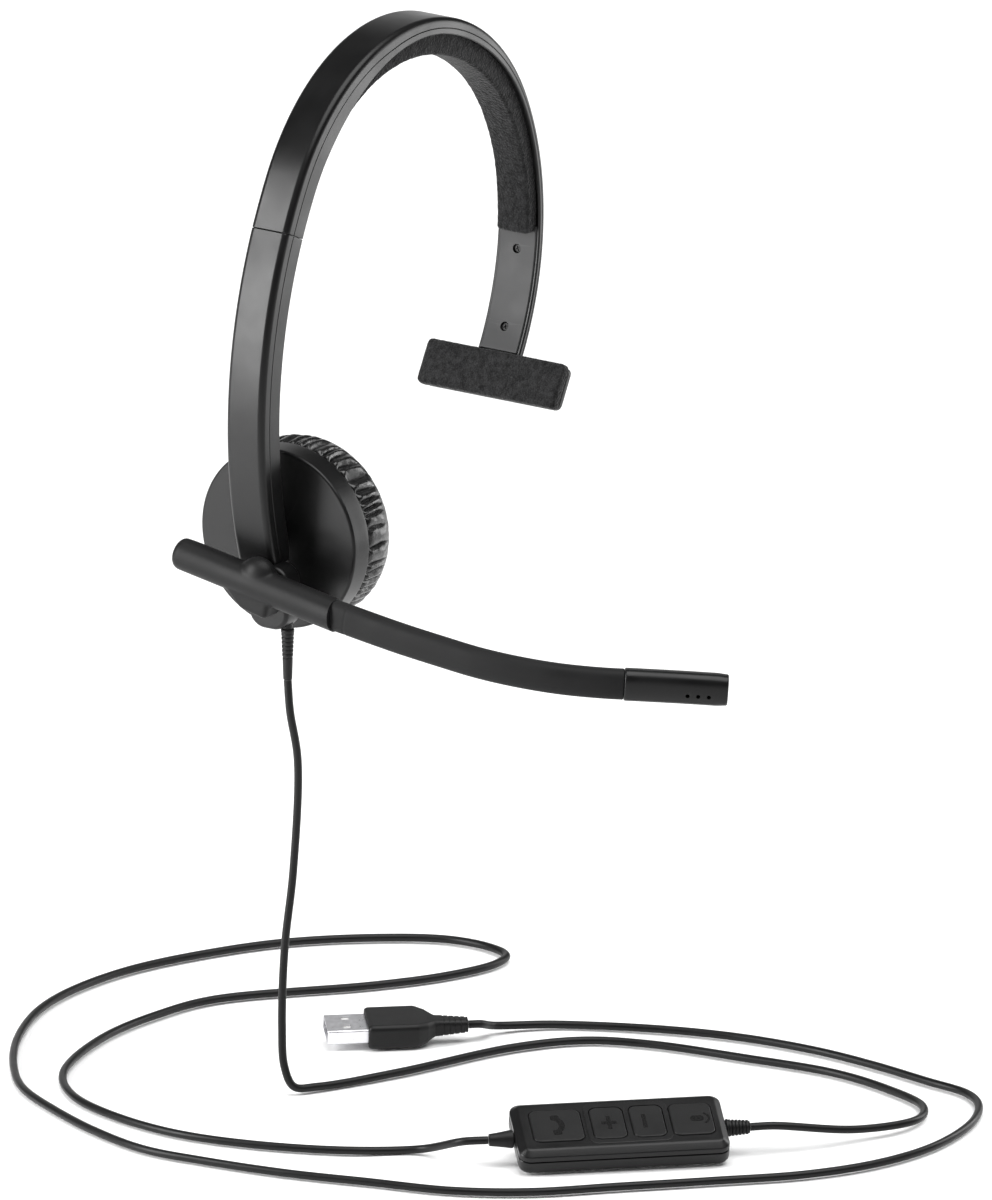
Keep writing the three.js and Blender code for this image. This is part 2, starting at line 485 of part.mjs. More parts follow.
// lower cord: from the controller through two loops to the plug
cord('cord_lower', [fromController(-39.9), fromController(-47), ...flat([[-62, -78, 1.6], [-75, -60], [-86, -33], [-90, -8], [-86, 18],
  [-77, 38], [-60, 53], [-26, 62], [2, 61], [24, 55], [62, 23], [82, 10], [100, 4], [109, 6], [113, 15], [112, 30],
  [101, 49], [82, 69], [59, 83], [33, 93], [6, 96], [-16, 93], [-43, 82], [-66, 67], [-80, 54], [-91, 36], [-102, 12],
  [-108, -10], [-107, -30], [-103, -57], [-96, -83], [-89, -108], [-77, -128], [-58, -147], [-38, -167], [-17, -187],
  [4, -199], [27, -204], [52, -201], [68, -193], [75, -184], [78, -168], [82, -146], [84, -124], [82, -98],
  [75, -73], [61, -44], [47, -31.5, 2.6]]), plug.localToWorld(V3(47, 0, 0)), plug.localToWorld(V3(43.6, 0, 0))], 50);

export default headset;
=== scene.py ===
# One-ear corded office headset: the visible pieces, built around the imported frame.
# Lengths are millimetres in the part's own frame, and become metres where a mesh is made.
import json
import math

import bmesh
import bpy
from mathutils import Matrix, Vector, noise

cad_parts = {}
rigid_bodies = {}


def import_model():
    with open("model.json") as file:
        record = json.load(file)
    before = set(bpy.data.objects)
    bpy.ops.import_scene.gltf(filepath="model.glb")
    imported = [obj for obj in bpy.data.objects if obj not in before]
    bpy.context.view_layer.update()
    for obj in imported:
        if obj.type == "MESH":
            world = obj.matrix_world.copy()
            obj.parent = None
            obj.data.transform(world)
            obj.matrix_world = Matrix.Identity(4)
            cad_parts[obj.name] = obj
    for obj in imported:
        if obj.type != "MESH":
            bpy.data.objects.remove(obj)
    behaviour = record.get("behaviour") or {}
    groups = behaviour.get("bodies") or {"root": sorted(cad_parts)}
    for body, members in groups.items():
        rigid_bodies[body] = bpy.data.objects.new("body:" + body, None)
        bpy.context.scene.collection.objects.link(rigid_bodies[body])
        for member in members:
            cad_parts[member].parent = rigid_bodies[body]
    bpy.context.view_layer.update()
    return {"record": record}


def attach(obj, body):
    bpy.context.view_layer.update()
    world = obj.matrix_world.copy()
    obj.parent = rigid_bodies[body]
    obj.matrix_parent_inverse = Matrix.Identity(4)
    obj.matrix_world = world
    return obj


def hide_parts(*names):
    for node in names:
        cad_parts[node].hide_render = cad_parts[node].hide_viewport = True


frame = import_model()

MM = 0.001
SEAM_GAP = 0.12


# ---- driving dimensions, as in the CAD ----------------------------------------
ARC_X, ARC_Z, ARC_R = 104.3, 37.2, 145
SEAM, ARM_END = math.radians(155.2), math.radians(198.4)
CROWN = [(16, 160), (21.7, 71.7), (70, 69.5), (57, 67.5), (85.4, 87.7)]
BAND_LEN = sum(length for length, _ in CROWN)
ARM_S = -(ARM_END - SEAM) * ARC_R
BAND_W, LIMB_W = 13.4, 15.2
ARM_DEPTH, WALL = 9.6, 1.5
PAD_FROM, PAD_TO = 44, 211
LIMB_SCREWS = (217, 242)
HUB_Y, HUB_Z = -5.8, -9.5
HUB_OUT, HUB_IN, SHAFT_R = -35.9, -28, 2.8
EXIT = (-31.2, -9.4)
CUP_R, CUP_FACE, PITCH_X = 28, -22.7, -18.9
BAR_X = -41
BAR_PITCH = math.radians(10)
BOOM_H, BOOM_T, MIC_FROM = 9.3, 6.4, 0.755
CORD_R = 1.25
FLOOR = -169.5
CTRL_L, CTRL_W, CTRL_T, CORD_AXIS = 64, 26, 7.8, 3.75
KEYS = {"call": (-19.2, 15.4), "volume_up": (-3.6, 10), "volume_down": (8.4, 10), "mute": (21.8, 12.6)}


# ---- camera ----------------------------------------------------------------------
def add_camera():
    elevation, turn, distance = math.radians(17.46), math.radians(-56.0), 12.12
    aim = Vector((0.0946, 0, -0.0499))
    rotation = Matrix.Rotation(turn, 4, "Z") @ Matrix.Rotation(math.pi / 2 - elevation, 4, "X")
    data = bpy.data.cameras.new("camera")
    data.lens, data.sensor_width = 1200, 36
    data.clip_start, data.clip_end = 0.1, 50
    camera = bpy.data.objects.new("camera", data)
    camera.matrix_world = Matrix.Translation(aim + rotation.to_3x3() @ Vector((0, 0, distance))) @ rotation
    bpy.context.scene.collection.objects.link(camera)
    bpy.context.scene.camera = camera


add_camera()


# ---- materials ---------------------------------------------------------------------
class Shader:
    """A material's node tree, with short calls to add and join nodes."""

    def __init__(self, name, colour, roughness, **constants):
        self.material = bpy.data.materials.new(name)
        self.material.use_nodes = True
        self.tree = self.material.node_tree
        self.bsdf = self.tree.nodes["Principled BSDF"]
        self.bsdf.inputs["Base Color"].default_value = (*colour, 1)
        self.bsdf.inputs["Roughness"].default_value = roughness
        for key, value in constants.items():
            self.bsdf.inputs[key.replace("_", " ")].default_value = value
        self.place = self.node("ShaderNodeTexCoord").outputs["Object"]

    def node(self, kind, inputs=(), **settings):
        made = self.tree.nodes.new(kind)
        for key, value in settings.items():
            setattr(made, key, value)
        for key, value in dict(inputs).items():
            if isinstance(value, bpy.types.NodeSocket):
                self.tree.links.new(value, made.inputs[key])
            else:
                made.inputs[key].default_value = value
        return made

    def noise(self, size_mm, detail=4.0, roughness=0.5, place=None):
        made = self.node("ShaderNodeTexNoise", {
            "Vector": place or self.place, "Scale": 1 / (size_mm * MM),
            "Detail": detail, "Roughness": roughness})
        return made.outputs["Fac"]

    def cells(self, size_mm, feature="F1", place=None):
        made = self.node("ShaderNodeTexVoronoi", {
            "Vector": place or self.place, "Scale": 1 / (size_mm * MM)}, feature=feature)
        return made.outputs["Distance"]

    def ramp(self, value, *stops):
        made = self.node("ShaderNodeValToRGB", {"Fac": value})
        marks = made.color_ramp.elements
        while len(marks) < len(stops):
            marks.new(0.5)
        for mark, (where, colour) in zip(marks, stops):
            mark.position = where
            mark.color = (*colour, 1) if isinstance(colour, tuple) else (colour, colour, colour, 1)
        return made.outputs["Color"]

    def math(self, operation, a, b):
        made = self.node("ShaderNodeMath", {0: a, 1: b}, operation=operation)
        return made.outputs["Value"]

    def mix(self, factor, a, b, blend_type="MIX"):
        made = self.node("ShaderNodeMix", data_type="RGBA", blend_type=blend_type)
        for index, value in ((0, factor), (6, a), (7, b)):
            if isinstance(value, bpy.types.NodeSocket):
                self.tree.links.new(value, made.inputs[index])
            else:
                made.inputs[index].default_value = value
        return made.outputs[2]

    def set(self, socket, value):
        self.tree.links.new(value, self.bsdf.inputs[socket])

    def bump(self, height, strength, depth_mm):
        before = self.bsdf.inputs["Normal"].links
        inputs = {"Height": height, "Strength": strength, "Distance": depth_mm * MM}
        if before:
            inputs["Normal"] = before[0].from_socket
        self.set("Normal", self.node("ShaderNodeBump", inputs).outputs["Normal"])


def grey(value):
    return (value, value, value * 1.03)


def plastic(name, tone, roughness, grain_mm=0.35, grain=0.25, specular=0.5):
    """Spark-eroded moulding: fine grain, slow change of sheen, and convex edges lightened in the base colour
    as a painted edge highlight.
    """
    s = Shader(name, grey(tone), roughness, Specular_IOR_Level=specular)
    slow = s.noise(14, 3)
    fine = s.noise(grain_mm, 2)
    s.set("Roughness", s.ramp(slow, (0.3, roughness - 0.05), (0.7, roughness + 0.05)))
    # Painted highlight: convex edges are painted lighter (1.9 times the tone) where edges would catch the
    # light.
    edge_pointiness = s.node("ShaderNodeNewGeometry").outputs["Pointiness"]
    edge = s.ramp(edge_pointiness, (0.52, 0.0), (0.60, 1.0))
    body = s.ramp(slow, (0.3, grey(tone * 0.9)), (0.7, grey(tone * 1.12)))
    # Base colour: slow random tone, with the painted edge highlight mixed in on convex edges.
    s.set("Base Color", s.mix(edge, body, (*grey(tone * 1.9), 1)))
    s.bump(fine, grain, 0.03)
    return s.material


def soft_rubber(name, tone, roughness, specular=0.24):
    s = Shader(name, grey(tone), roughness,
               Specular_IOR_Level=specular, Sheen_Weight=0.03, Sheen_Roughness=0.5)
    slow = s.noise(9, 4)
    s.set("Base Color", s.ramp(slow, (0.3, grey(tone * 0.85)), (0.75, grey(tone * 1.25))))
    s.set("Roughness", s.ramp(slow, (0.3, roughness - 0.06), (0.7, roughness + 0.06)))
    s.bump(s.noise(0.25, 2), 0.2, 0.03)
    return s.material


def foam_fabric(name, low, high):
    """Felted foam cover: open cells, fibres and a mottled tone."""
    s = Shader(name, grey(low), 0.95, Specular_IOR_Level=0.2, Sheen_Weight=0.12, Sheen_Roughness=0.4)
    cells = s.cells(0.85)
    mottle = s.noise(2.1, 5, 0.7)
    fibres = s.noise(0.3, 3)
    tone = s.math("MULTIPLY", s.math("ADD", mottle, fibres), 0.5)
    s.set("Base Color", s.ramp(tone, (0.41, grey(low)), (0.59, grey(high))))
    s.bump(s.math("ADD", cells, mottle), 0.8, 0.35)
    s.bump(fibres, 0.5, 0.1)
    return s.material


def leatherette(name):
    s = Shader(name, grey(0.006), 0.3, Specular_IOR_Level=0.45, Coat_Weight=0.2, Coat_Roughness=0.22)
    pores = s.cells(0.55, "SMOOTH_F1")
    creases = s.noise(1.1, 6, 0.6)
    valley = s.ramp(s.node("ShaderNodeNewGeometry").outputs["Pointiness"], (0.46, 0.75), (0.515, 0.0))
    s.set("Roughness", s.mix(valley, s.ramp(creases, (0.35, 0.22), (0.7, 0.36)), (0.8, 0.8, 0.8, 1)))
    s.set("Base Color", s.ramp(s.noise(5), (0.3, grey(0.004)), (0.7, grey(0.008))))
    s.bump(pores, 0.35, 0.12)
    s.bump(creases, 0.35, 0.25)
    return s.material


def metal(name, tone, roughness, brushed=False):
    s = Shader(name, grey(tone), roughness, Metallic=1.0)
    if brushed:
        stretched = s.node("ShaderNodeMapping", {"Vector": s.place, "Scale": (1, 12, 1)}).outputs["Vector"]
        lines = s.noise(0.9, 4, 0.6, stretched)
    else:
        lines = s.noise(2.5, 6, 0.7)
    s.set("Roughness", s.ramp(lines, (0.3, roughness * 0.7), (0.7, roughness * 1.4)))
    s.set("Base Color", s.ramp(lines, (0.25, grey(tone * 0.8)), (0.7, grey(tone))))
    s.bump(lines, 0.15, 0.02)
    return s.material


def printed(name, colour, roughness):
    s = Shader(name, colour, roughness)
    slow = s.noise(3, 3)
    low = tuple(c * 0.8 for c in colour)
    s.set("Base Color", s.ramp(slow, (0.35, low), (0.65, colour)))
    s.bump(s.noise(0.5), 0.1, 0.02)
    return s.material


LOOKS = {
    "satin_plastic": plastic("satin_plastic", 0.005, 0.34, grain=0.3, specular=0.28),
    "inner_plastic": plastic("inner_plastic", 0.015, 0.46, grain=0.4, specular=0.3),
    "dark_plastic": plastic("dark_plastic", 0.006, 0.5, specular=0.3),
    "pad_fabric": foam_fabric("pad_fabric", 0.004, 0.025),
    "leatherette": leatherette("leatherette"),
    "soft_rubber": soft_rubber("soft_rubber", 0.005, 0.46),
    "cord_jacket": soft_rubber("cord_jacket", 0.004, 0.4),
    "spring_steel": metal("spring_steel", 0.45, 0.3, True),
    "plated_steel": metal("plated_steel", 0.85, 0.34),
    "circuit_board": printed("circuit_board", (0.02, 0.12, 0.05), 0.4),
    "clear_film": printed("clear_film", (0.6, 0.6, 0.56), 0.3),
    "white_plastic": printed("white_plastic", (0.72, 0.72, 0.71), 0.35),
}
PRINT = printed("key_print", (0.003, 0.003, 0.003), 0.25)
MATT_PLASTIC = plastic("matt_plastic", 0.006, 0.5, grain=0.35, specular=0.2)
MATT_RUBBER = soft_rubber("matt_rubber", 0.0075, 0.6, specular=0.17)

for part in frame["record"]["subparts"]:
    data = bpy.data.objects[part["node"]].data if part["node"] in bpy.data.objects else None
    if data:
        data.materials.clear()
        data.materials.append(LOOKS[part["material_slot"]])


# ---- mesh helpers -------------------------------------------------------------------
def build(name, points, faces):
    """A mesh object from points in millimetres, its faces turned outwards."""
    mesh = bpy.data.meshes.new(name)
    mesh.from_pydata([Vector(p) * MM for p in points], [], faces)
    bm = bmesh.new()
    bm.from_mesh(mesh)
    bmesh.ops.remove_doubles(bm, verts=bm.verts, dist=1e-7)
    bmesh.ops.recalc_face_normals(bm, faces=bm.faces)
    bm.to_mesh(mesh)
    bm.free()
    made = bpy.data.objects.new(name, mesh)
    bpy.context.scene.collection.objects.link(made)
    return made


def skin(name, rings, closed=False):
    """A skin over rings of points, ended flat unless it closes on itself."""
    count, last = len(rings[0]), len(rings) - (0 if closed else 1)
    faces = []
    for k in range(last):
        here, there = k * count, (k + 1) % len(rings) * count
        for j in range(count):
            i = (j + 1) % count
            faces.append((here + j, here + i, there + i, there + j))
    if not closed:
        faces.append(tuple(range(count)))
        faces.append(tuple(range((len(rings) - 1) * count, len(rings) * count)))
    return build(name, [p for ring in rings for p in ring], faces)


def applied(made, *modifiers):
    """Add modifiers, given as (type, settings), and turn their result into the mesh."""
    for kind, settings in modifiers:
        modifier = made.modifiers.new(kind, kind)
        for key, value in settings.items():
            setattr(modifier, key, value)
    bpy.context.view_layer.update()
    result = bpy.data.meshes.new_from_object(made.evaluated_get(bpy.context.evaluated_depsgraph_get()))
    result.name = made.data.name
    made.modifiers.clear()
    made.data = result
    return made


def bevelled(made, width, segments=3, angle=40):
    return applied(made, ("BEVEL", {"width": width * MM, "segments": segments, "limit_method": "ANGLE",
                                    "angle_limit": math.radians(angle)}))


def cut(made, *tools, operation="DIFFERENCE"):
    """Cut tools out of a mesh, or join them to it, and drop the tools."""
    for tool in tools:
        applied(made, ("BOOLEAN", {"object": tool, "operation": operation, "solver": "EXACT"}))
        bpy.data.objects.remove(tool)
    return made


def done(made, slot, body, *replaced, material=None, sharp=38):
    """Smooth the normals, give the finish, and say what the piece rides on and stands for."""
    mesh = made.data
    if made.type == "MESH":
        mesh.polygons.foreach_set("use_smooth", [True] * len(mesh.polygons))
        mesh.set_sharp_from_angle(angle=math.radians(sharp))
        applied(made, ("WEIGHTED_NORMAL", {"keep_sharp": True, "weight": 50}))
        mesh = made.data
    mesh.materials.clear()
    mesh.materials.append(material or LOOKS[slot])
    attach(made, body)
    if replaced:
        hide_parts(*replaced)
    return made


def arc(cx, cy, r, start, end, steps=6):
    """Points on an arc, angles in degrees."""
    angles = [math.radians(start + (end - start) * k / steps) for k in range(steps + 1)]
    return [(cx + r * math.cos(a), cy + r * math.sin(a)) for a in angles]


def rounded(w, h, r, steps=5, x=0, y=0):
    a, b = w / 2 - r, h / 2 - r
    corners = ((a, -b, -90), (a, b, 0), (-a, b, 90), (-a, -b, 180))
    return [(x + px, y + py) for cx, cy, t in corners for px, py in arc(cx, cy, r, t, t + 90, steps)]


def inset(section, amount):
    """The section moved in by an amount, along the normals at its corners."""
    count = len(section)
    turn = sum(section[i - 1][0] * section[i][1] - section[i][0] * section[i - 1][1] for i in range(count))
    side = 1 if turn > 0 else -1
    moved = []
    for i, (x, y) in enumerate(section):
        before = Vector((x, y)) - Vector(section[i - 1])
        after = Vector(section[(i + 1) % count]) - Vector((x, y))
        normal = Vector((0, 0))
        for edge in (before, after):
            if edge.length > 1e-6:
                normal += Vector((-edge.y, edge.x)).normalized()
        lean = max(0.6, normal.length / 2)
        normal = normal.normalized() * side
        moved.append((x + normal.x * amount / lean, y + normal.y * amount / lean))
    return moved


def shrunk(outline, inward):
    """The outline itself, or inset where a rounded end asks for it."""
    return inset(outline, inward) if inward > 0 else outline


def ease(t):
    c = min(1, max(0, t))
    return c * c * (3 - 2 * c)


def steps(a, b, count):
    return [a + (b - a) * k / count for k in range(count + 1)]


def eased_ends(a, b, r, count, fillet=4):
    """Stations from a to b with the inset that rounds both ends to radius r."""
    turn = [math.pi / 2 * k / fillet for k in range(fillet + 1)]
    head = [(a + r * (1 - math.cos(t)), r * (1 - math.sin(t))) for t in turn]
    tail = [(b - (s - a), inward) for s, inward in reversed(head)]
    middle = [(s, 0) for s in steps(a + r, b - r, count)[1:-1]]
    return head + middle + tail


def turned(name, profile, y=0, z=0, count=96):
    """A piece turned about a line along X: profile of (x, radius), closed or ended on the axis."""
    rings = [[(x, y + r * math.sin(t), z + r * math.cos(t)) for x, r in profile]
             for t in (2 * math.pi * k / count for k in range(count))]
    return skin(name, rings, closed=True)


def block(name, x0, x1, y0, y1, z0, z1):
    corners = [(x, y, z) for x in (x0, x1) for y in (y0, y1) for z in (z0, z1)]
    return build(name, corners, [(0, 1, 3, 2), (4, 6, 7, 5), (0, 4, 5, 1),
                                 (2, 3, 7, 6), (0, 2, 6, 4), (1, 5, 7, 3)])


def rod(name, radius, a, b, count=32):
    a, b = Vector(a), Vector(b)
    turn = (b - a).to_track_quat("Z", "Y")
    around = [turn @ Vector((radius * math.cos(t), radius * math.sin(t), 0))
              for t in (2 * math.pi * k / count for k in range(count))]
    return skin(name, [[a + p for p in around], [b + p for p in around]])


def placed(made, matrix):
    """Move the mesh itself, so that the object stays at the origin."""
    made.data.transform(matrix)
    return made


# ---- the band's curve ------------------------------------------------------------------
def band_frame(s):
    """Place and heading of the band's outer face, s from the seam, in the XZ plane."""
    a = SEAM - (s / ARC_R if s < 0 else 0)
    x, z, h = ARC_X + ARC_R * math.cos(a), ARC_Z + ARC_R * math.sin(a), a - math.pi / 2
    for length, r in CROWN:
        if s <= 0:
            break
        run = s if length == CROWN[-1][0] else min(s, length)
        cx, cz = x + r * math.sin(h), z - r * math.cos(h)
        h -= run / r
        x, z = cx - r * math.sin(h), cz + r * math.cos(h)
        s -= run
    return x, z, h


def on_band(s, y, d):
    """s along the band, y across it, d inwards from the outer face."""
    x, z, h = band_frame(s)
    return Vector((x + math.sin(h) * d, y, z - math.cos(h) * d))


def band_width(s):
    return BAND_W + (LIMB_W - BAND_W) * ease(s / 120)


def rim_depth(s):
    return ARM_DEPTH + (5.2 - ARM_DEPTH) * ease((s - 30) / 75) - 1.9 * ease((s - 115) / 60)


def channel(w, depth, wall, roof, r=1.9, groove=0.2):
    """U-section with round shoulders, a fine parting groove in each side and rounded lips."""
    a, b, g, lip = w / 2, w / 2 - wall, min(4.1, 0.62 * depth), 0.45
    right = [(a - r + r * math.sin(t), r - r * math.cos(t)) for t in steps(0, math.pi / 2, 8)]
    right += [(a, g - groove), (a - groove, g), (a, g + groove), (a, depth - lip)]
    right += [(a - lip + lip * math.cos(t), depth - lip + lip * math.sin(t))
              for t in steps(0, math.pi / 2, 3)[1:]]
    right += [(b, depth), (b, roof)]
    return right + [(-x, y) for x, y in reversed(right)]


def along_band(name, section, s0, s1, count, end=0.25, fillet=3):
    """A band piece: section(s) gives (y, d) points, and both ends are rounded."""
    rings = [[on_band(s, y, d) for y, d in shrunk(section(s), inward)]
             for s, inward in eased_ends(s0, s1, end, count, fillet)]
    return skin(name, rings)


# ---- cords -----------------------------------------------------------------------------
class Route:
    """A smooth curve through given points, read by its length from 0 to 1."""

    def __init__(self, points, per_span=40):
        known = [Vector(p) for p in points]
        ends = [known[0] * 2 - known[1], known[-1] * 2 - known[-2]]
        padded = [ends[0], *known, ends[1]]
        self.points = [known[0]]
        for a, b, c, d in zip(padded, padded[1:], padded[2:], padded[3:]):
            self.points += self.span(a, b, c, d, per_span)
        self.run = [0]
        for a, b in zip(self.points, self.points[1:]):
            self.run.append(self.run[-1] + (b - a).length)
        self.length = self.run[-1]

    @staticmethod
    def span(a, b, c, d, count):
        t0, t1, t2 = (max((q - p).length, 1e-6) ** 0.5 for p, q in ((a, b), (b, c), (c, d)))
        leave = ((b - a) / t0 - (c - a) / (t0 + t1) + (c - b) / t1) * t1
        arrive = ((c - b) / t1 - (d - b) / (t1 + t2) + (d - c) / t2) * t1
        found = []
        for k in range(1, count + 1):
            t = k / count
            found.append(b * (2 * t ** 3 - 3 * t ** 2 + 1) + leave * (t ** 3 - 2 * t ** 2 + t)
                         + c * (3 * t ** 2 - 2 * t ** 3) + arrive * (t ** 3 - t ** 2))
        return found

    def at(self, u):
        """Place and direction at a share of the length; past the ends it runs on straight."""
        want = min(1, max(0, u)) * self.length
        low, high = 0, len(self.run) - 1
        while high - low > 1:
            middle = (low + high) // 2
            low, high = (middle, high) if self.run[middle] <= want else (low, middle)
        a, b = self.points[low], self.points[high]
        ahead = self.points[min(high + 1, len(self.points) - 1)]
        behind = self.points[max(low - 1, 0)]
        share = (want - self.run[low]) / (self.run[high] - self.run[low])
        direction = (ahead - behind).normalized()
        return a.lerp(b, share) + direction * ((u - min(1, max(0, u))) * self.length), direction


def controller_matrix():
    tilt, turn = math.radians(20), math.radians(-46.8)
    place = Vector((-31.5, -129.3, FLOOR + 0.1 + CTRL_W / 2 * math.sin(tilt)))
    return Matrix.Translation(place) @ Matrix.Rotation(turn, 4, "Z") @ Matrix.Rotation(tilt, 4, "X")


def plug_matrix():
    roll, turn = math.radians(8), math.radians(-49)
    place = Vector((8.8, 4.3, FLOOR + 5.05))
    return Matrix.Translation(place) @ Matrix.Rotation(turn, 4, "Z") @ Matrix.Rotation(roll, 4, "X")


def metres(matrix):
    """The same placement for a mesh that is already in metres."""
    moved = matrix.copy()
    moved.translation *= MM
    return moved


CONTROLLER, PLUG = controller_matrix(), plug_matrix()


def from_controller(x):
    return CONTROLLER @ Vector((x, 0, CORD_AXIS))


def flat(*places):
    return [Vector((p[0], p[1], FLOOR + (p[2] if len(p) > 2 else CORD_R + 0.2))) for p in places]


UPPER = [Vector(p) for p in (
    (*EXIT, -40.7), (-31.5, -10.4, -50), (-30, -12.2, -66), (-31.6, -11.6, -100), (-34.8, -10.6, -124),
    (-36.6, -10.8, -148), (-37, -12, -161), (-35.6, -14.4, -167))]
UPPER += flat((-29, -18.6), (-4, -31), (36, -46.5), (53, -60), (61, -78), (66, -110), (69, -140), (65, -162),
              (57, -180, 1.6), (43, -187, 2.2), (22, -179, 3.5))
UPPER += [from_controller(47), from_controller(39.9)]
LOWER = [from_controller(-39.9), from_controller(-47)]
LOWER += flat((-62, -78, 1.6), (-75, -60), (-86, -33), (-90, -8), (-86, 18), (-77, 38), (-60, 53), (-26, 62),
              (2, 61), (24, 55), (62, 23), (82, 10), (100, 4), (109, 6), (113, 15), (112, 30), (101, 49),
              (82, 69),
              (59, 83), (33, 93), (6, 96), (-16, 93), (-43, 82), (-66, 67), (-80, 54), (-91, 36), (-102, 12),
              (-108, -10), (-107, -30), (-103, -57), (-96, -83), (-89, -108), (-77, -128), (-58, -147),
              (-38, -167), (-17, -187), (4, -199), (27, -204), (52, -201), (68, -193), (75, -184), (78, -168),
              (82, -146), (84, -124), (82, -98), (75, -73), (61, -44), (47, -31.5, 2.6))
LOWER += [PLUG @ Vector((47, 0, 0)), PLUG @ Vector((43.6, 0, 0))]


def make_cord(name, points, node):
    route = Route(points, 12)
    curve = bpy.data.curves.new(name, "CURVE")
    curve.dimensions = "3D"
    curve.bevel_depth, curve.bevel_resolution, curve.use_fill_caps = CORD_R * MM, 5, True
    spline = curve.splines.new("POLY")
    spline.points.add(len(route.points) - 1)
    for point, place in zip(spline.points, route.points):
        point.co = (*(place * MM), 1)
    made = bpy.data.objects.new(name, curve)
    bpy.context.scene.collection.objects.link(made)
    return done(made, "cord_jacket", "arm", node), route


upper_cord, upper_route = make_cord("upper_cord", UPPER, "cord_upper")
lower_cord, lower_route = make_cord("lower_cord", LOWER, "cord_lower")


# ---- headband ----------------------------------------------------------------------------
def make_headband():
    def section(s):
        return channel(band_width(s), rim_depth(s), WALL - 0.7 * ease((s - 185) / 22), 1.3)

    shell = along_band("headband_outer_shell", section,
                       SEAM_GAP / 2, BAND_LEN, 150)
    done(shell, "satin_plastic", "headband", "headband_shell")

    cover = along_band("headband_inside_cover",
                       lambda s: rounded(band_width(s) - 2 * WALL - 0.6, 1.4, 0.4, 3, 0, ARM_DEPTH - 1.1),
                       17, PAD_FROM - 0.6, 20)
    done(cover, "inner_plastic", "headband", "band_inner_cover")

    inside = rim_depth(BAND_LEN)
    limb = along_band("limb_inside_cover", lambda s: rounded(LIMB_W - 1.8, 1.2, 0.45, 3, 0, inside - 0.1),
                      PAD_TO - 2, BAND_LEN - 0.3, 40)
    for s in LIMB_SCREWS:
        hole = rod("screw_hole", 1.45, on_band(s, 0, inside - 1.2), on_band(s, 0, 6))
        cut(limb, hole)
    bevelled(limb, 0.12, 2, 50)
    done(limb, "inner_plastic", "headband", "limb_inner_cover")
    for k, s in enumerate(LIMB_SCREWS):
        make_screw(f"sunk_screw_{k + 1}", on_band(s, 0, inside - 1.3), on_band(s, 0, inside - 0.2),
                   1.25, "dark_plastic", "headband", f"limb_screw_{k + 1}")


def make_screw(name, a, b, radius, slot, body, *replaced):
    """A round-headed screw with a cross recess, its head at b."""
    head = bevelled(rod(name, radius, a, b), radius * 0.2, 3)
    a, b = Vector(a), Vector(b)
    turn = (b - a).to_track_quat("Z", "Y")
    for angle in (0.4, 0.4 + math.pi / 2):
        slot_box = block("recess", -radius * 0.62, radius * 0.62, -radius * 0.14, radius * 0.14, -0.5, 0.5)
        spin = turn.to_matrix().to_4x4() @ Matrix.Rotation(angle, 4, "Z")
        cut(head, placed(slot_box, Matrix.Translation(b * MM) @ spin))
    return done(head, slot, body, *replaced)


def make_slider():
    """The tongue that runs in the arm: a long slot and detent notches."""
    tongue = along_band("size_slider_tongue", lambda s: rounded(8.8, 3.3, 0.5, 3, 0, 4.55), -40, 13, 40)
    slot = along_band("slot", lambda s: rounded(3.2, 8, 0.4, 2, 0, 5), -36, -7, 20)
    cut(tongue, slot)
    for s in range(-34, 0, 4):
        cut(tongue, rod("notch", 0.5, on_band(s, -4, 6.35), on_band(s, 4, 6.35), 16))
    done(tongue, "inner_plastic", "headband", "size_slider")


make_headband()
make_slider()


# ---- headband pad and temple bar ---------------------------------------------------------
def pad_depth(s):
    return 12.2 - 4.4 * ease((s - 110) / 85)


def pillow(w, d0, d1, r=1.3):
    """Section of a foam strip: flat back, soft crowned face towards the head."""
    a, crown = w / 2, 0.35
    face = [(x, d1 + crown * (1 - (x / (a - r)) ** 2) - crown) for x in steps(a - r, -a + r, 10)[1:-1]]
    right = [(a - r + r * math.cos(t), d1 - r - crown + r * math.sin(t)) for t in steps(0, math.pi / 2, 6)]
    left = [(-x, y) for x, y in reversed(right)]
    return [(-a, d0), (a, d0)] + right + face + left


def make_headband_pad():
    def section(s):
        return pillow(band_width(s) - 2 * WALL - 0.8, 2.5, pad_depth(s))

    pad = along_band("headband_foam_pad", section, PAD_FROM, PAD_TO, 260, 1.2, 5)
    roughen(pad, 0.12, 1.5)
    done(pad, "pad_fabric", "headband", "headband_pad", sharp=60)
    return pad


def roughen(made, amount, size):
    """Move each point along its normal by a little noise, as an uneven cover does."""
    mesh = made.data
    normals = [v.normal.copy() for v in mesh.vertices]
    for vertex, normal in zip(mesh.vertices, normals):
        vertex.co += normal * (noise.noise(vertex.co / (size * MM)) * amount * MM)


def temple_matrix():
    x, z, h = band_frame(BAND_LEN)
    return Matrix.Translation((x, 0, z)) @ Matrix.Rotation(math.atan2(-math.cos(h), -math.sin(h)), 4, "Y")


TEMPLE = temple_matrix()
TEMPLE_DROP = -7.1                    # centre of the bar, along the band from its end


def slab_yz(name, w, h, r, x0, x1, y, z, fillet, corner=6, count=4):
    """A slab standing in the YZ plane with rounded corners and rounded edges."""
    outline = rounded(w, h, r, corner, y, z)
    rings = [[(x, py, pz) for py, pz in shrunk(outline, inward)]
             for x, inward in eased_ends(x0, x1, fillet, count)]
    return skin(name, rings)


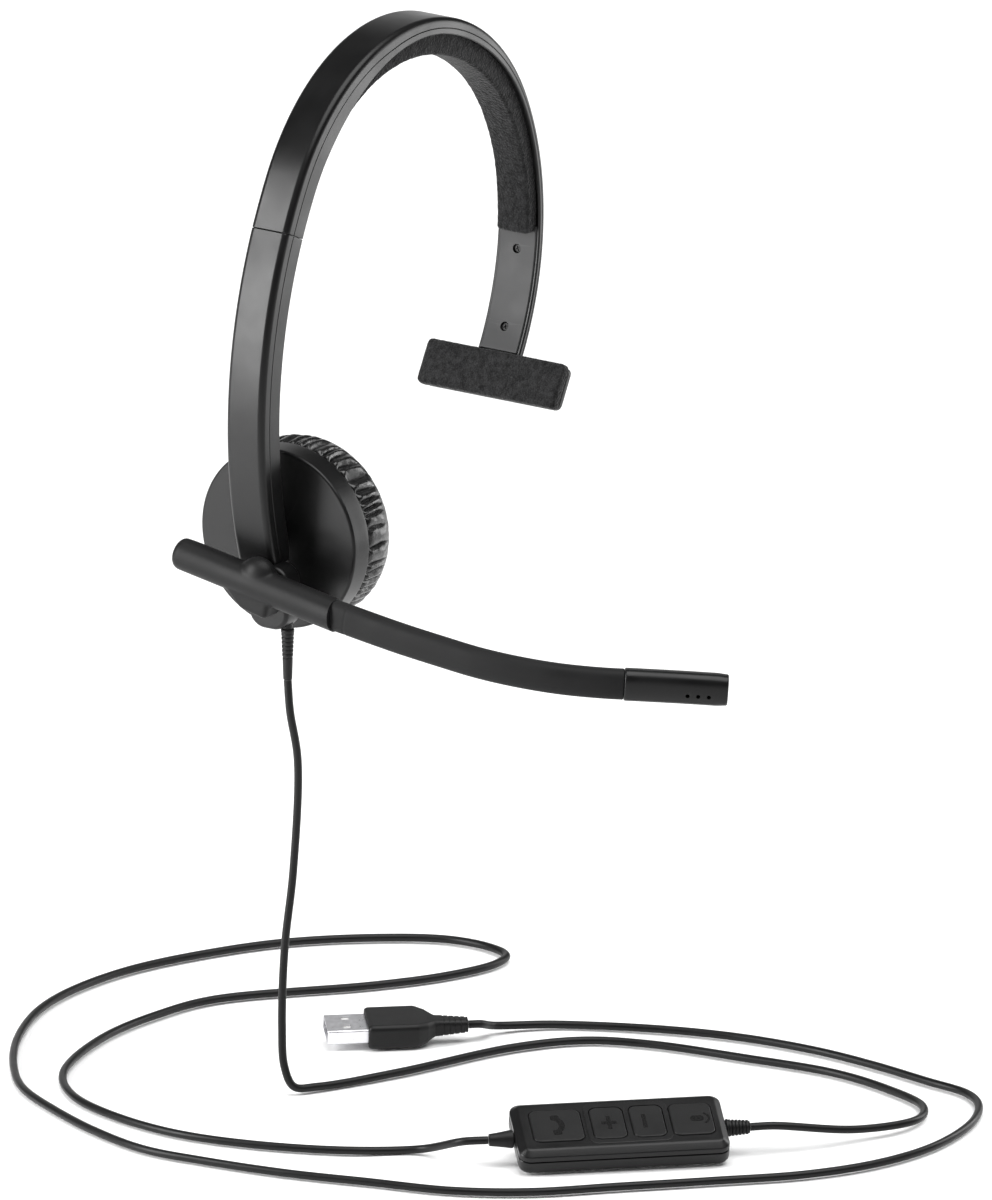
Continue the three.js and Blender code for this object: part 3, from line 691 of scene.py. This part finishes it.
def make_temple_bar():
    bar = slab_yz("temple_bar_plate", 49, 13.4, 2, -0.8, 1.6, 0, TEMPLE_DROP, 0.7)
    neck = slab_yz("neck", 10, 14, 1.5, -2.3, -0.75, 0, TEMPLE_DROP + 4, 0.3)
    cut(bar, neck, operation="UNION")
    placed(bar, metres(TEMPLE))
    done(bar, "satin_plastic", "headband", "temple_bar")

    face, back, w, h = -4.9, -1.1, 50, 14.2
    pad = skin("pad", [[(x, y, z) for y, z in (inset(rounded(w, h, 1.5, 6, 0, TEMPLE_DROP), inward))]
                       for x, inward in ((back, 0.5), (back - 0.15, 0.12), (back - 0.5, 0),
                                         (face + 1.3, 0.0), (face + 0.75, 0.08), (face + 0.3, 0.4),
                                         (face + 0.06, 0.95), (face, 1.8))])
    applied(pad, ("REMESH", {"mode": "VOXEL", "voxel_size": 0.45 * MM}),
            ("SMOOTH", {"factor": 0.5, "iterations": 4}))
    pad.name = "temple_foam_pad"
    roughen(pad, 0.10, 1.2)
    placed(pad, metres(TEMPLE))
    done(pad, "pad_fabric", "headband", "temple_pad", sharp=80)
    return pad


# ---- arm and hub ---------------------------------------------------------------------------
def hub_plate(name, grow, x0, x1, fillet=0.01):
    return slab_yz(name, 14.1 + 2 * grow, 20 + 2 * grow, 5.4 + grow, x0, x1, -5.25, -14.2, fillet, 10)


def make_arm():
    inside = BAND_W - 2 * WALL
    arm = along_band("arm_outer_shell", lambda s: channel(BAND_W, ARM_DEPTH, WALL, WALL),
                     ARM_S, -SEAM_GAP / 2, 90)
    hub = hub_plate("hub", 0, HUB_OUT, HUB_IN, 1.3)
    lining = along_band("lining", lambda s: rounded(inside + 0.5, ARM_DEPTH, 0.8, 3, 0, 1.3 + ARM_DEPTH / 2),
                        ARM_S + 1, 1, 40)
    cut(hub, hub_plate("pocket", -1.4, HUB_OUT + 1.6, HUB_IN + 1), lining)
    cut(arm, hub, operation="UNION")
    cut(arm, rod("bore", SHAFT_R + 0.12, (HUB_OUT - 1, HUB_Y, HUB_Z), (HUB_OUT + 3, HUB_Y, HUB_Z), 64),
        rod("seat", 4.3, (HUB_OUT + 1.6, HUB_Y, HUB_Z), (HUB_IN + 1, HUB_Y, HUB_Z), 64),
        block("trim", HUB_IN, -15, -30, 30, -40, -4.5), block("room", -26.3, -15, -30, 30, -40, 14),
        rod("exit", 1.75, (*EXIT, -20), (*EXIT, -28)))
    done(arm, "satin_plastic", "arm", "arm_shell")

    cover = along_band("arm_inside_cover", lambda s: rounded(inside - 0.5, 1.5, 0.4, 3, 0, ARM_DEPTH - 0.75),
                       ARM_S + 5, -0.6, 70)
    cut(cover, rod("neck_hole", 3.6, (-34, 0, 0), (-20, 0, 0), 48),
        block("room", -26.3, -15, -30, 30, -40, 14))
    done(cover, "inner_plastic", "arm", "arm_cover")

    lid = hub_plate("hub_back_cover", -1.8, HUB_IN - 1.2, HUB_IN, 0.4)
    for side in (-1, 1):
        make_screw(f"hub_cover_screw_{'ab'[side > 0]}", (HUB_IN - 0.7, HUB_Y + 3.4 * side, -19.4),
                   (HUB_IN + 0.35, HUB_Y + 3.4 * side, -19.4), 1.1, "plated_steel", "arm")
    done(lid, "inner_plastic", "arm", "hub_cover")


def lathe(name, profile, matrix, count=48):
    """A piece turned about local X, profile of (x, radius), put in place by a matrix in millimetres."""
    made = turned(name, profile, 0, 0, count)
    return placed(made, metres(matrix))


def ribbed_sleeve(start, end, r0, r1, ribs, groove=0.22):
    """Profile of a tapered sleeve with ring grooves."""
    profile = []
    for k in range(ribs):
        a, b = start + (end - start) * k / ribs, start + (end - start) * (k + 1) / ribs
        ra, rb = (r0 + (r1 - r0) * (x - start) / (end - start) for x in (a, b))
        land = (b - a) * 0.62
        profile += [(a + 0.08, ra - 0.06), (a + 0.2, ra), (a + land, ra), (a + land + 0.12, ra - 0.06),
                    (a + land + 0.18, ra - groove), (b, rb - groove)]
    return profile


def make_hub_gland():
    down = Matrix.Translation((*EXIT, -20.4)) @ Matrix.Rotation(math.pi / 2, 4, "Y")
    profile = [(0, 0), (0, 1.7), (0.7, 1.72), (0.8, 1.5), (3.9, 1.5), (4.0, 1.9), (4.2, 2.05), (5.0, 2.05)]
    profile += ribbed_sleeve(5.2, 13, 1.95, 1.62, 6) + [(13.2, 1.58), (19.6, 1.38), (19.95, 1.3), (20, 0)]
    done(lathe("cord_sleeve", profile, down), "soft_rubber", "arm", "hub_gland")


def make_yoke():
    up = rod("cup_yoke_swivel", 1.5, (-29.4, 0, -3.3), (-29.4, 0, 3.3))
    neck = rod("neck", 1.48, (-29.4, 0, 0), (PITCH_X, 0, 0))
    across = rod("across", 1.9, (PITCH_X, -4.4, 0), (PITCH_X, 4.4, 0))
    cut(up, neck, across, operation="UNION")
    done(up, "inner_plastic", "cup_swivel", "cup_yoke")


# ---- ear cup ---------------------------------------------------------------------------------
def make_cup():
    r, face = CUP_R, CUP_FACE
    edge = [(face + 0.9 - 0.9 * math.cos(t), r - 1.0 + 0.9 * math.sin(t)) for t in steps(0, math.pi / 2, 8)]
    side = [(face + 0.9 + 6.6 * k / 6, r - 0.1 + 0.1 * ease(k / 6)) for k in range(1, 7)]
    cap = turned("cup_outer_cap", [(face + 0.06, 0), (face + 0.02, 12), (face, 19)] + edge + side
                 + [(face + 7.75, r - 0.04), (face + 7.95, r - 0.2), (face + 8, r - 0.45),
                    (face + 8, r - 1.4), (face + 2.4, r - 1.7), (face + 1.7, 22), (face + 1.6, 0)], count=160)
    cut(cap, rod("pivot_hole", 3.2, (face - 1, 0, 0), (face + 4, 0, 0), 48))
    bevelled(cap, 0.15, 2, 60)
    done(cap, "satin_plastic", "ear_cup", "cup_cap")

    rim = 26.2
    baffle = turned("cup_baffle_plate", [
        (-15.7, 0), (-15.7, 3), (-14.8, 3.2), (-14.8, rim - 0.4), (-14.68, rim - 0.12), (-14.4, rim),
        (-12.6, rim), (-12.32, rim - 0.12), (-12.2, rim - 0.4), (-12.2, 18.3), (-13, 18.3),
        (-13, 0)], count=160)
    done(baffle, "satin_plastic", "ear_cup", "cup_baffle")

    ring = turned("cushion_carrier", [(-11.9, 18.4), (-11.9, 25.8), (-11.7, 26.1), (-10.7, 26.1),
                                      (-10.5, 25.8), (-10.5, 18.4)], count=128)
    done(ring, "dark_plastic", "ear_cup", "cushion_ring")

    cloth = turned("speaker_cover_cloth", [(-7.9, 0), (-7.9, 13.5), (-7.6, 13.6), (-7.35, 13.4), (-7.3, 9),
                                           (-7.2, 4), (-7.15, 0)], count=96)
    roughen(cloth, 0.05, 1.2)
    done(cloth, "pad_fabric", "ear_cup", "speaker_cloth")


CUSHION_SECTION = [
    (-14.3, 26.55), (-14.35, 27.1), (-14.1, 27.6), (-13.2, 27.9), (-11, 28.05), (-8.4, 28.1), (-6, 28),
    (-4.2, 27.6),
    (-2.4, 26.7), (-1.0, 25.2), (-0.3, 23.6), (0, 21.8), (0, 20), (-0.7, 17.6), (-2.4, 15.4), (-4.9, 14.4),
    (-7.3, 14.8), (-9.2, 16.4), (-10.1, 18.6), (-10.25, 22), (-10.35, 26), (-10.8, 26.45), (-12.6, 26.5)]
PLEATS = 48


def pleat(turn, x, wander):
    """Height of the gathered folds on the cushion's outer side: round puffs between narrow valleys."""
    lean = 0.22 * noise.noise(Vector((math.cos(turn) * 5, math.sin(turn) * 5, x * 0.12)))
    across = abs(math.sin(math.pi * (PLEATS * turn / (2 * math.pi) + wander + lean)))
    gathered = ease((x + 14.6) / 1.5) * ease((-3.0 - x) / 5.5)
    return (across ** 0.55 - 0.82) * gathered


def make_ear_cushion():
    """Leatherette ring whose outer side is gathered into pleats from the skirt to the rolled edge."""
    around, across = 960, 120
    section = closed_curve(CUSHION_SECTION, across)
    points = []
    for i in range(around):
        turn = 2 * math.pi * i / around
        spot = Vector((math.cos(turn), math.sin(turn), 0))
        wander = 0.75 * noise.noise(spot * 2.1) + 0.30 * noise.noise(spot * 7.3)
        size = 1.0 + 0.45 * noise.noise(spot * 5.3 + Vector((7, 0, 0)))
        for (x, r), (nx, nr) in section:
            fold = 0.0
            if r > 24 and nr > 0.05:
                fold = 2.0 * size * pleat(turn, x, wander) * ease(nr * 1.6)
            fold += 0.10 * noise.noise(Vector((spot.x * 16, spot.y * 16, x * 0.5))) * ease((r - 14) / 4)
            px, pr = x + nx * fold, r + nr * fold
            points.append((min(px, 0), pr * math.sin(turn), pr * math.cos(turn)))
    faces = []
    for i in range(around):
        for j in range(across):
            here, there, following = i * across, (i + 1) % around * across, (j + 1) % across
            faces.append((here + j, here + following, there + following, there + j))
    cushion = build("ear_ring_cushion", points, faces)
    done(cushion, "leatherette", "ear_cup", "ear_cushion", sharp=180)
    return cushion


def closed_curve(marks, count):
    """Evenly spread points on a smooth closed curve through marks, each with its outward normal."""
    dense, total = [], len(marks)
    for k in range(total):
        a, b, c, d = (Vector(marks[(k + n) % total]) for n in (-1, 0, 1, 2))
        for n in range(12):
            t = n / 12
            dense.append(0.5 * (2 * b + (c - a) * t + (2 * a - 5 * b + 4 * c - d) * t * t
                                + (3 * b - a - 3 * c + d) * t ** 3))
    run = [0]
    for a, b in zip(dense, dense[1:] + dense[:1]):
        run.append(run[-1] + (b - a).length)
    spread, k = [], 0
    for n in range(count):
        want = run[-1] * n / count
        while run[k + 1] < want:
            k += 1
        share = (want - run[k]) / (run[k + 1] - run[k])
        spread.append(dense[k].lerp(dense[(k + 1) % len(dense)], share))
    found = []
    for n, p in enumerate(spread):
        along = (spread[(n + 1) % count] - spread[n - 1]).normalized()
        found.append((tuple(p), (-along.y, along.x)))
    return found


# ---- boom ------------------------------------------------------------------------------------
BAR_ALONG = Vector((0, -math.cos(BAR_PITCH), -math.sin(BAR_PITCH)))
BAR_FRONT = HUB_Y - 28.2 * math.cos(BAR_PITCH)


def on_bar(d):
    return Vector((BAR_X, HUB_Y, HUB_Z + 0.9)) + BAR_ALONG * d


def ellipsoid(name, centre, radii, count=48):
    rings = []
    for k in range(1, count // 2):
        t = math.pi * k / (count // 2)
        rings.append([(centre[0] + radii[0] * math.cos(t),
                       centre[1] + radii[1] * math.sin(t) * math.cos(a),
                       centre[2] + radii[2] * math.sin(t) * math.sin(a))
                      for a in (2 * math.pi * j / count for j in range(count))])
    return skin(name, rings)


def make_boom_base():
    """Round bar with a pivot dome above it and a wedge below that covers the hub."""
    turn = BAR_ALONG.to_track_quat("X", "Z").to_matrix().to_4x4()
    tail = [(-29.8 + 2.2 - 2.2 * math.cos(t), 2.8 + 2.2 * math.sin(t)) for t in steps(0, math.pi / 2, 8)]
    bar = lathe("bar", [(-29.8, 0)] + tail + [(30, 5), (30, 0)], Matrix.Translation(on_bar(0)) @ turn, 64)
    dome = ellipsoid("dome", (-40.6, HUB_Y + 0.6, -5.5), (4.5, 5.9, 5.3))
    across = Vector((0, math.sin(BAR_PITCH), -math.cos(BAR_PITCH)))
    wedge = skin("wedge", [[(x, *(on_bar(d) + across * side).yz) for d, side in
                            ((-11, 3.0), (-3.6, 8.4), (5.8, 8.9), (6.4, 3.0), (6.0, 0), (-11, 0))]
                           for x in (-44.6, -36.2)])
    bevelled(wedge, 1.1, 3, 20)
    foot = turned("foot", [(-40, 0), (-40, 5.6), (-36.2, 5.6), (-36.2, 0)], HUB_Y, HUB_Z, 64)
    cut(bar, dome, wedge, foot, operation="UNION")
    applied(bar, ("REMESH", {"mode": "VOXEL", "voxel_size": 0.32 * MM}),
            ("SMOOTH", {"factor": 0.5, "iterations": 26}))
    relief = skin("relief", [[(x, *(on_bar(-r) + across * side).yz)
                              for r, x in ((8.6, -36.1), (32, -40.95), (32, -30), (8.6, -30))]
                             for side in (-9, 9)])
    cut(bar, relief, block("front", -60, -20, -80, BAR_FRONT, -60, 30),
        block("hub_side", -36.2, -20, -60, 60, -60, 40),
        rod("duct", 1.9, on_bar(-14), on_bar(32)))
    inner = copy_of(bar, "boom_base_rear_half")
    cut(bar, block("rear", BAR_X - 0.05, -20, -90, 60, -60, 40))
    cut(inner, block("front", -60, BAR_X + 0.05, -90, 60, -60, 40))
    shaft = rod("shaft", SHAFT_R, (-37, HUB_Y, HUB_Z), (-30.6, HUB_Y, HUB_Z), 64)
    cut(shaft, turned("groove", [(-32.6, 2.1), (-32.6, 3.4), (-31.6, 3.4), (-31.6, 2.1)], HUB_Y, HUB_Z, 64))
    cut(inner, shaft, operation="UNION")
    bar.name = "boom_base_front_half"
    done(bar, "satin_plastic", "boom", "boom_base_outer", material=MATT_PLASTIC)
    done(inner, "satin_plastic", "boom", "boom_base_inner", material=MATT_PLASTIC)


def copy_of(made, name):
    twin = bpy.data.objects.new(name, made.data.copy())
    bpy.context.scene.collection.objects.link(twin)
    return twin


BOOM = Route([(-41, -33.9, -13.5), (-41, -56.4, -16.5), (-40.5, -70.7, -18.2), (-39.6, -84.7, -19.8),
              (-37.2, -97.7, -21), (-33.5, -109.8, -21.9), (-28.4, -121, -22.5), (-21.5, -131, -23.2),
              (-14.7, -141, -23.9), (-6.9, -152.1, -24.9)])


def oval(w, h, count=48, power=2.8):
    points = []
    for k in range(count):
        a = 2 * math.pi * k / count
        c, s = math.cos(a), math.sin(a)
        f = 1 / (abs(c) ** power + abs(s) ** power) ** (1 / power)
        points.append((w / 2 * c * f, h / 2 * s * f))
    return points


def boom_frame(u):
    place, along = BOOM.at(u)
    side = along.cross(Vector((0, 0, 1))).normalized()
    return place, side, side.cross(along)


def along_boom(name, section, stations):
    rings = []
    for u, inward in stations:
        place, side, up = boom_frame(u)
        rings.append([place + side * x + up * y for x, y in shrunk(section(u), inward)])
    return skin(name, rings)


def boom_stations(u0, u1, r, count):
    length = BOOM.length
    return [(s / length, inward) for s, inward in eased_ends(u0 * length, u1 * length, r, count)]


def make_boom():
    def skin_of_arm(u):
        squeeze = 0.25 * math.exp(-((u - 0.036) / 0.0022) ** 2)
        return oval(BOOM_T - squeeze, BOOM_H - squeeze)

    stations = boom_stations(-0.016, MIC_FROM - 0.0003, 0.3, 330)
    arm = along_boom("boom_flexible_arm", skin_of_arm, stations)
    cut(arm, block("seam", -60, -20, BAR_FRONT - 0.1, 60, -60, 30))
    done(arm, "soft_rubber", "boom", "boom_arm", material=MATT_RUBBER, sharp=60)

    def housing(u):
        e = 1 - 0.05 * ease((u - 0.97) / 0.03)
        return oval(7.4 * e, 9.8 * e)

    full = along_boom("mic_housing_front", housing, boom_stations(MIC_FROM + 0.0003, 1, 0.55, 60))
    cavity = along_boom("cavity", lambda u: oval(5.2, 7.4, 24),
                        [(u, 0) for u in steps(MIC_FROM + 0.02, 0.965, 12)])
    cut(full, cavity)
    for u in (0.905, 0.93, 0.955):
        place, side, up = boom_frame(u)
        cut(full, rod("vent", 0.62, place, place + (side - up * 0.45) * 8, 24))
    place, side, up = boom_frame(0.9)
    cut(full, rod("mouth", 1.6, place, place - side * 8, 32))
    rear = copy_of(full, "mic_housing_rear")
    for half, low, high in ((full, -9, 0.05), (rear, -0.05, 9)):
        rings = []
        for u in steps(MIC_FROM - 0.02, 1.02, 40):
            p, side, up = boom_frame(u)
            rings.append([p + side * x + up * y for x, y in ((low, -9), (high, -9), (high, 9), (low, 9))])
        cut(half, skin("split", rings))
    done(full, "satin_plastic", "boom", "mic_housing_outer")
    done(rear, "satin_plastic", "boom", "mic_housing_inner")


# ---- in-line controller ----------------------------------------------------------------------
def levels(name, w, h, r, heights, x=0, y=0):
    """A lying slab with rounded corners, from (height, inset) pairs."""
    outline = rounded(w, h, r, 6, x, y)
    return skin(name, [[(px, py, z) for px, py in shrunk(outline, inward)] for z, inward in heights])


def cord_ways():
    return [rod("way", 1.8, (side * (CTRL_L / 2 - 3), 0, CORD_AXIS), (side * (CTRL_L / 2 + 1), 0, CORD_AXIS))
            for side in (-1, 1)]


def make_controller():
    corner, split = 3.5, 4.4
    base = levels("controller_lower_shell", CTRL_L, CTRL_W, corner, (
        (0, 1.4), (0.12, 0.85), (0.45, 0.38), (1.0, 0.08), (1.6, 0), (4.1, 0), (split - 0.15, 0.12)))
    cut(base, levels("hollow", CTRL_L - 3, CTRL_W - 3, corner - 1.5, ((1.4, 0), (6, 0))), *cord_ways())
    placed(base, metres(CONTROLLER))
    done(base, "satin_plastic", "arm", "controller_base")

    top = CTRL_T
    lid = levels("controller_upper_shell", CTRL_L, CTRL_W, corner, (
        (split + 0.15, 0.12), (split + 0.3, 0), (6.0, 0), (6.2, 0.06), (6.4, 0.22), (7.5, 1.75), (7.68, 2.05),
        (7.77, 2.35), (top, 2.8)))
    raised = levels("raised", 25.4, 19, 2.6, ((top - 0.4, 0), (top + 0.1, 0), (top + 0.2, 0.15)), 2.4, 0)
    cut(lid, raised, operation="UNION")
    cut(lid, levels("hollow", CTRL_L - 3, CTRL_W - 3, corner - 1.5, ((3, 0), (top - 1.5, 0))), *cord_ways())
    for x, w in KEYS.values():
        cut(lid, levels("opening", w + 0.5, 15.5, 2.45, ((top - 3, 0), (top + 1, 0)), x))
    placed(lid, metres(CONTROLLER))
    done(lid, "satin_plastic", "arm", "controller_top")


def make_key(name, x, w):
    top = CTRL_T + 0.35
    key = levels(f"{name}_key_cap", w, 15, 2.2, (
        (5.7, 0), (top - 0.4, 0), (top - 0.22, 0.05), (top - 0.08, 0.2), (top, 0.5)), x)
    cut(key, levels("flange", w + 1.6, 16.6, 2.8, ((5.5, 0), (6.0, 0)), x),
        levels("post", 3, 3, 0.5, ((5.2, 0), (5.8, 0)), x), operation="UNION")
    placed(key, metres(CONTROLLER))
    done(key, "soft_rubber", f"{name}_key", f"{name}_button")


def make_symbol(name, body, outlines):
    """A printed symbol: outlines a tenth of a millimetre above the key's face."""
    top = CTRL_T + 0.35
    shapes = [skin("shape", [[(x, y, z) for x, y in outline] for z in (top - 0.05, top + 0.06)])
              for outline in outlines]
    cut(shapes[0], *shapes[1:], operation="UNION")
    shapes[0].name = name
    placed(shapes[0], metres(CONTROLLER))
    done(shapes[0], "dark_plastic", body, material=PRINT)


def make_keys():
    for name, (x, w) in KEYS.items():
        make_key(name, x, w)
    x = KEYS["call"][0] - 2.2
    bow = arc(x, 0, 4.6, -58, 58, 16) + arc(x - 0.4, 0, 3.2, 58, -58, 16)
    ends = [rounded(2.6, 2.2, 0.6, 3, x + 2.0, side * 3.5) for side in (-1, 1)]
    make_symbol("handset_symbol", "call_key", [bow] + ends)
    x = KEYS["volume_up"][0] + 0.3
    make_symbol("plus_symbol", "volume_up_key", [rounded(4.6, 1.3, 0.1, 2, x), rounded(1.2, 6.2, 0.1, 2, x)])
    x = KEYS["volume_down"][0] - 1.0
    make_symbol("minus_symbol", "volume_down_key", [rounded(1.2, 6.4, 0.1, 2, x)])
    x = KEYS["mute"][0] + 1.6
    capsule = rounded(4.2, 2.6, 1.25, 6, x, 0)
    stand = arc(x + 0.9, 0, 3.0, -62, 62, 12) + arc(x + 0.9, 0, 2.3, 62, -62, 12)
    make_symbol("microphone_symbol", "mute_key", [capsule])
    make_symbol("microphone_stand_symbol", "mute_key", [stand])


def make_controller_glands():
    root = [(0, 0), (0, 2.1), (0.9, 2.12), (1.0, 1.55), (3.3, 1.55), (3.32, 2.6), (3.5, 2.8)]
    smooth = [(4.2, 2.75), (6, 2.45), (8, 2.15), (10.2, 1.9), (10.5, 1.8), (10.6, 1.5), (10.6, 0)]
    ribs = ribbed_sleeve(4.0, 10.4, 2.6, 2.1, 6, 0.35)
    ribbed = [(3.9, 2.75)] + ribs + [(10.45, 1.95), (10.6, 1.8), (10.6, 0)]
    for side, profile, name, node in ((1, ribbed, "ribbed_cord_gland", "controller_gland_in"),
                                      (-1, smooth, "tapered_cord_gland", "controller_gland_out")):
        turn = Matrix.Rotation(0 if side > 0 else math.pi, 4, "Z")
        place = CONTROLLER @ Matrix.Translation((side * (CTRL_L / 2 - 3), 0, CORD_AXIS)) @ turn
        done(lathe(name, root + profile, place), "soft_rubber", "arm", node)


# ---- plug --------------------------------------------------------------------------------------
def loft_x(name, stations):
    """A body through sections across local X: (x, width, height, corner radius)."""
    return skin(name, [[(x, y, z) for y, z in rounded(w, h, r, 6)] for x, w, h, r in stations])


def make_plug():
    ribs = []
    for k in range(5):
        x = 34.4 + 1.7 * k
        w, h = 6.1 - 0.28 * k, 5.3 - 0.22 * k
        ribs += [(x, w, h, 1.5), (x + 1.1, w - 0.1, h - 0.1, 1.5), (x + 1.2, w - 0.42, h - 0.42, 1.4),
                 (x + 1.58, w - 0.5, h - 0.5, 1.4)]
    body = loft_x("plug_handle", [
        (12.4, 14.2, 6.4, 1.2), (12.5, 14.7, 6.9, 1.4), (12.8, 15.2, 7.4, 1.6), (13.4, 15.55, 7.75, 1.7),
        (14.2, 15.6, 7.8, 1.7), (27, 15.6, 7.8, 1.7), (27.8, 15.2, 7.65, 1.8), (30.4, 12.2, 6.9, 2),
        (30.9, 11.2, 6.6, 2), (32.6, 7.6, 5.7, 1.9), (33.2, 6.5, 5.4, 1.7), (34.1, 6.2, 5.3, 1.6)] + ribs
        + [(43.1, 4.5, 4.2, 1.4), (43.3, 4.1, 3.9, 1.3)])
    cut(body, loft_x("socket", [(11, 12.6, 5.1, 0.6), (17.9, 12.6, 5.1, 0.6)]))
    placed(body, metres(PLUG))
    done(body, "soft_rubber", "arm", "plug_overmould", sharp=30)

    shell = loft_x("plug_contact_shell", [(0, 11.9, 4.4, 0.5), (0.08, 12, 4.5, 0.55), (17.6, 12, 4.5, 0.55)])
    cut(shell, loft_x("mouth", [(-1, 11.4, 3.9, 0.3), (16.8, 11.4, 3.9, 0.3)]))
    for low in (0, -4):
        for y in (-2.9, 2.9):
            cut(shell, block("latch_hole", 5.0, 7.3, y - 1.15, y + 1.15, low, low + 4))
    placed(shell, metres(PLUG))
    done(shell, "plated_steel", "arm", "plug_shell", sharp=30)

    tongue = loft_x("plug_inner_tongue", [(0.7, 10.8, 1.6, 0.15), (0.85, 11, 1.8, 0.2), (16.3, 11, 1.8, 0.2)])
    placed(tongue, metres(PLUG @ Matrix.Translation((0, 0, 0.9))))
    done(tongue, "white_plastic", "arm", "plug_tongue", sharp=30)
    return body


pads = [make_headband_pad(), make_temple_bar()]
make_arm()
make_hub_gland()
make_yoke()
make_cup()
pads.append(make_ear_cushion())
make_boom_base()
make_boom()
make_controller()
make_keys()
make_controller_glands()
plug_handle = make_plug()


# ---- finish --------------------------------------------------------------------------------
def add_stage():
    size = 12
    floor = build("floor", [(x * 1000, y * 1000, FLOOR - 0.35) for x, y in
                            ((-size, -size), (size, -size), (size, size), (-size, size))], [(0, 1, 2, 3)])
    s = Shader("floor_paper", (0.94, 0.94, 0.94), 0.6)
    s.set("Base Color", s.ramp(s.noise(60, 2), (0.3, (0.93, 0.93, 0.93)), (0.7, (0.95, 0.95, 0.95))))
    floor.data.materials.append(s.material)


def add_light(name, place, aim, size, power):
    data = bpy.data.lights.new(name, "AREA")
    data.shape, data.size, data.size_y, data.energy = "RECTANGLE", size[0], size[1], power
    light = bpy.data.objects.new(name, data)
    light.location = place
    light.rotation_euler = (Vector(aim) - Vector(place)).to_track_quat("-Z", "Y").to_euler()
    light.visible_camera = False
    bpy.context.scene.collection.objects.link(light)


def light_scene():
    world = bpy.data.worlds.new("studio")
    world.use_nodes = True
    tree = world.node_tree
    surroundings = tree.nodes["Background"]
    surroundings.inputs["Color"].default_value = (1, 1, 1, 1)
    surroundings.inputs["Strength"].default_value = 0.07
    backdrop = tree.nodes.new("ShaderNodeBackground")
    backdrop.inputs["Color"].default_value = (1, 1, 1, 1)
    mixed = tree.nodes.new("ShaderNodeMixShader")
    tree.links.new(tree.nodes.new("ShaderNodeLightPath").outputs["Is Camera Ray"], mixed.inputs[0])
    tree.links.new(surroundings.outputs[0], mixed.inputs[1])
    tree.links.new(backdrop.outputs[0], mixed.inputs[2])
    tree.links.new(mixed.outputs[0], tree.nodes["World Output"].inputs["Surface"])
    bpy.context.scene.world = world
    bpy.context.scene.view_settings.view_transform = "Standard"
    aim = (0, 0, -0.02)
    add_light("key_left", (-0.62, 0.42, 0.24), aim, (0.26, 0.66), 9.5)
    add_light("right_panel", (0.46, -0.27, 0.07), (0, 0, 0.03), (0.20, 0.34), 1.2)
    add_light("back_panel", (0.85, 0.85, 0.10), (0, 0, 0), (1.1, 1.1), 2.6)
    sky = bpy.data.lights.new("even_top", "SUN")
    sky.energy, sky.angle = 3.35, math.radians(60)
    light = bpy.data.objects.new("even_top", sky)
    light.rotation_euler = Vector((0, 0.25, -0.97)).to_track_quat("-Z", "Y").to_euler()
    bpy.context.scene.collection.objects.link(light)


add_stage()
light_scene()
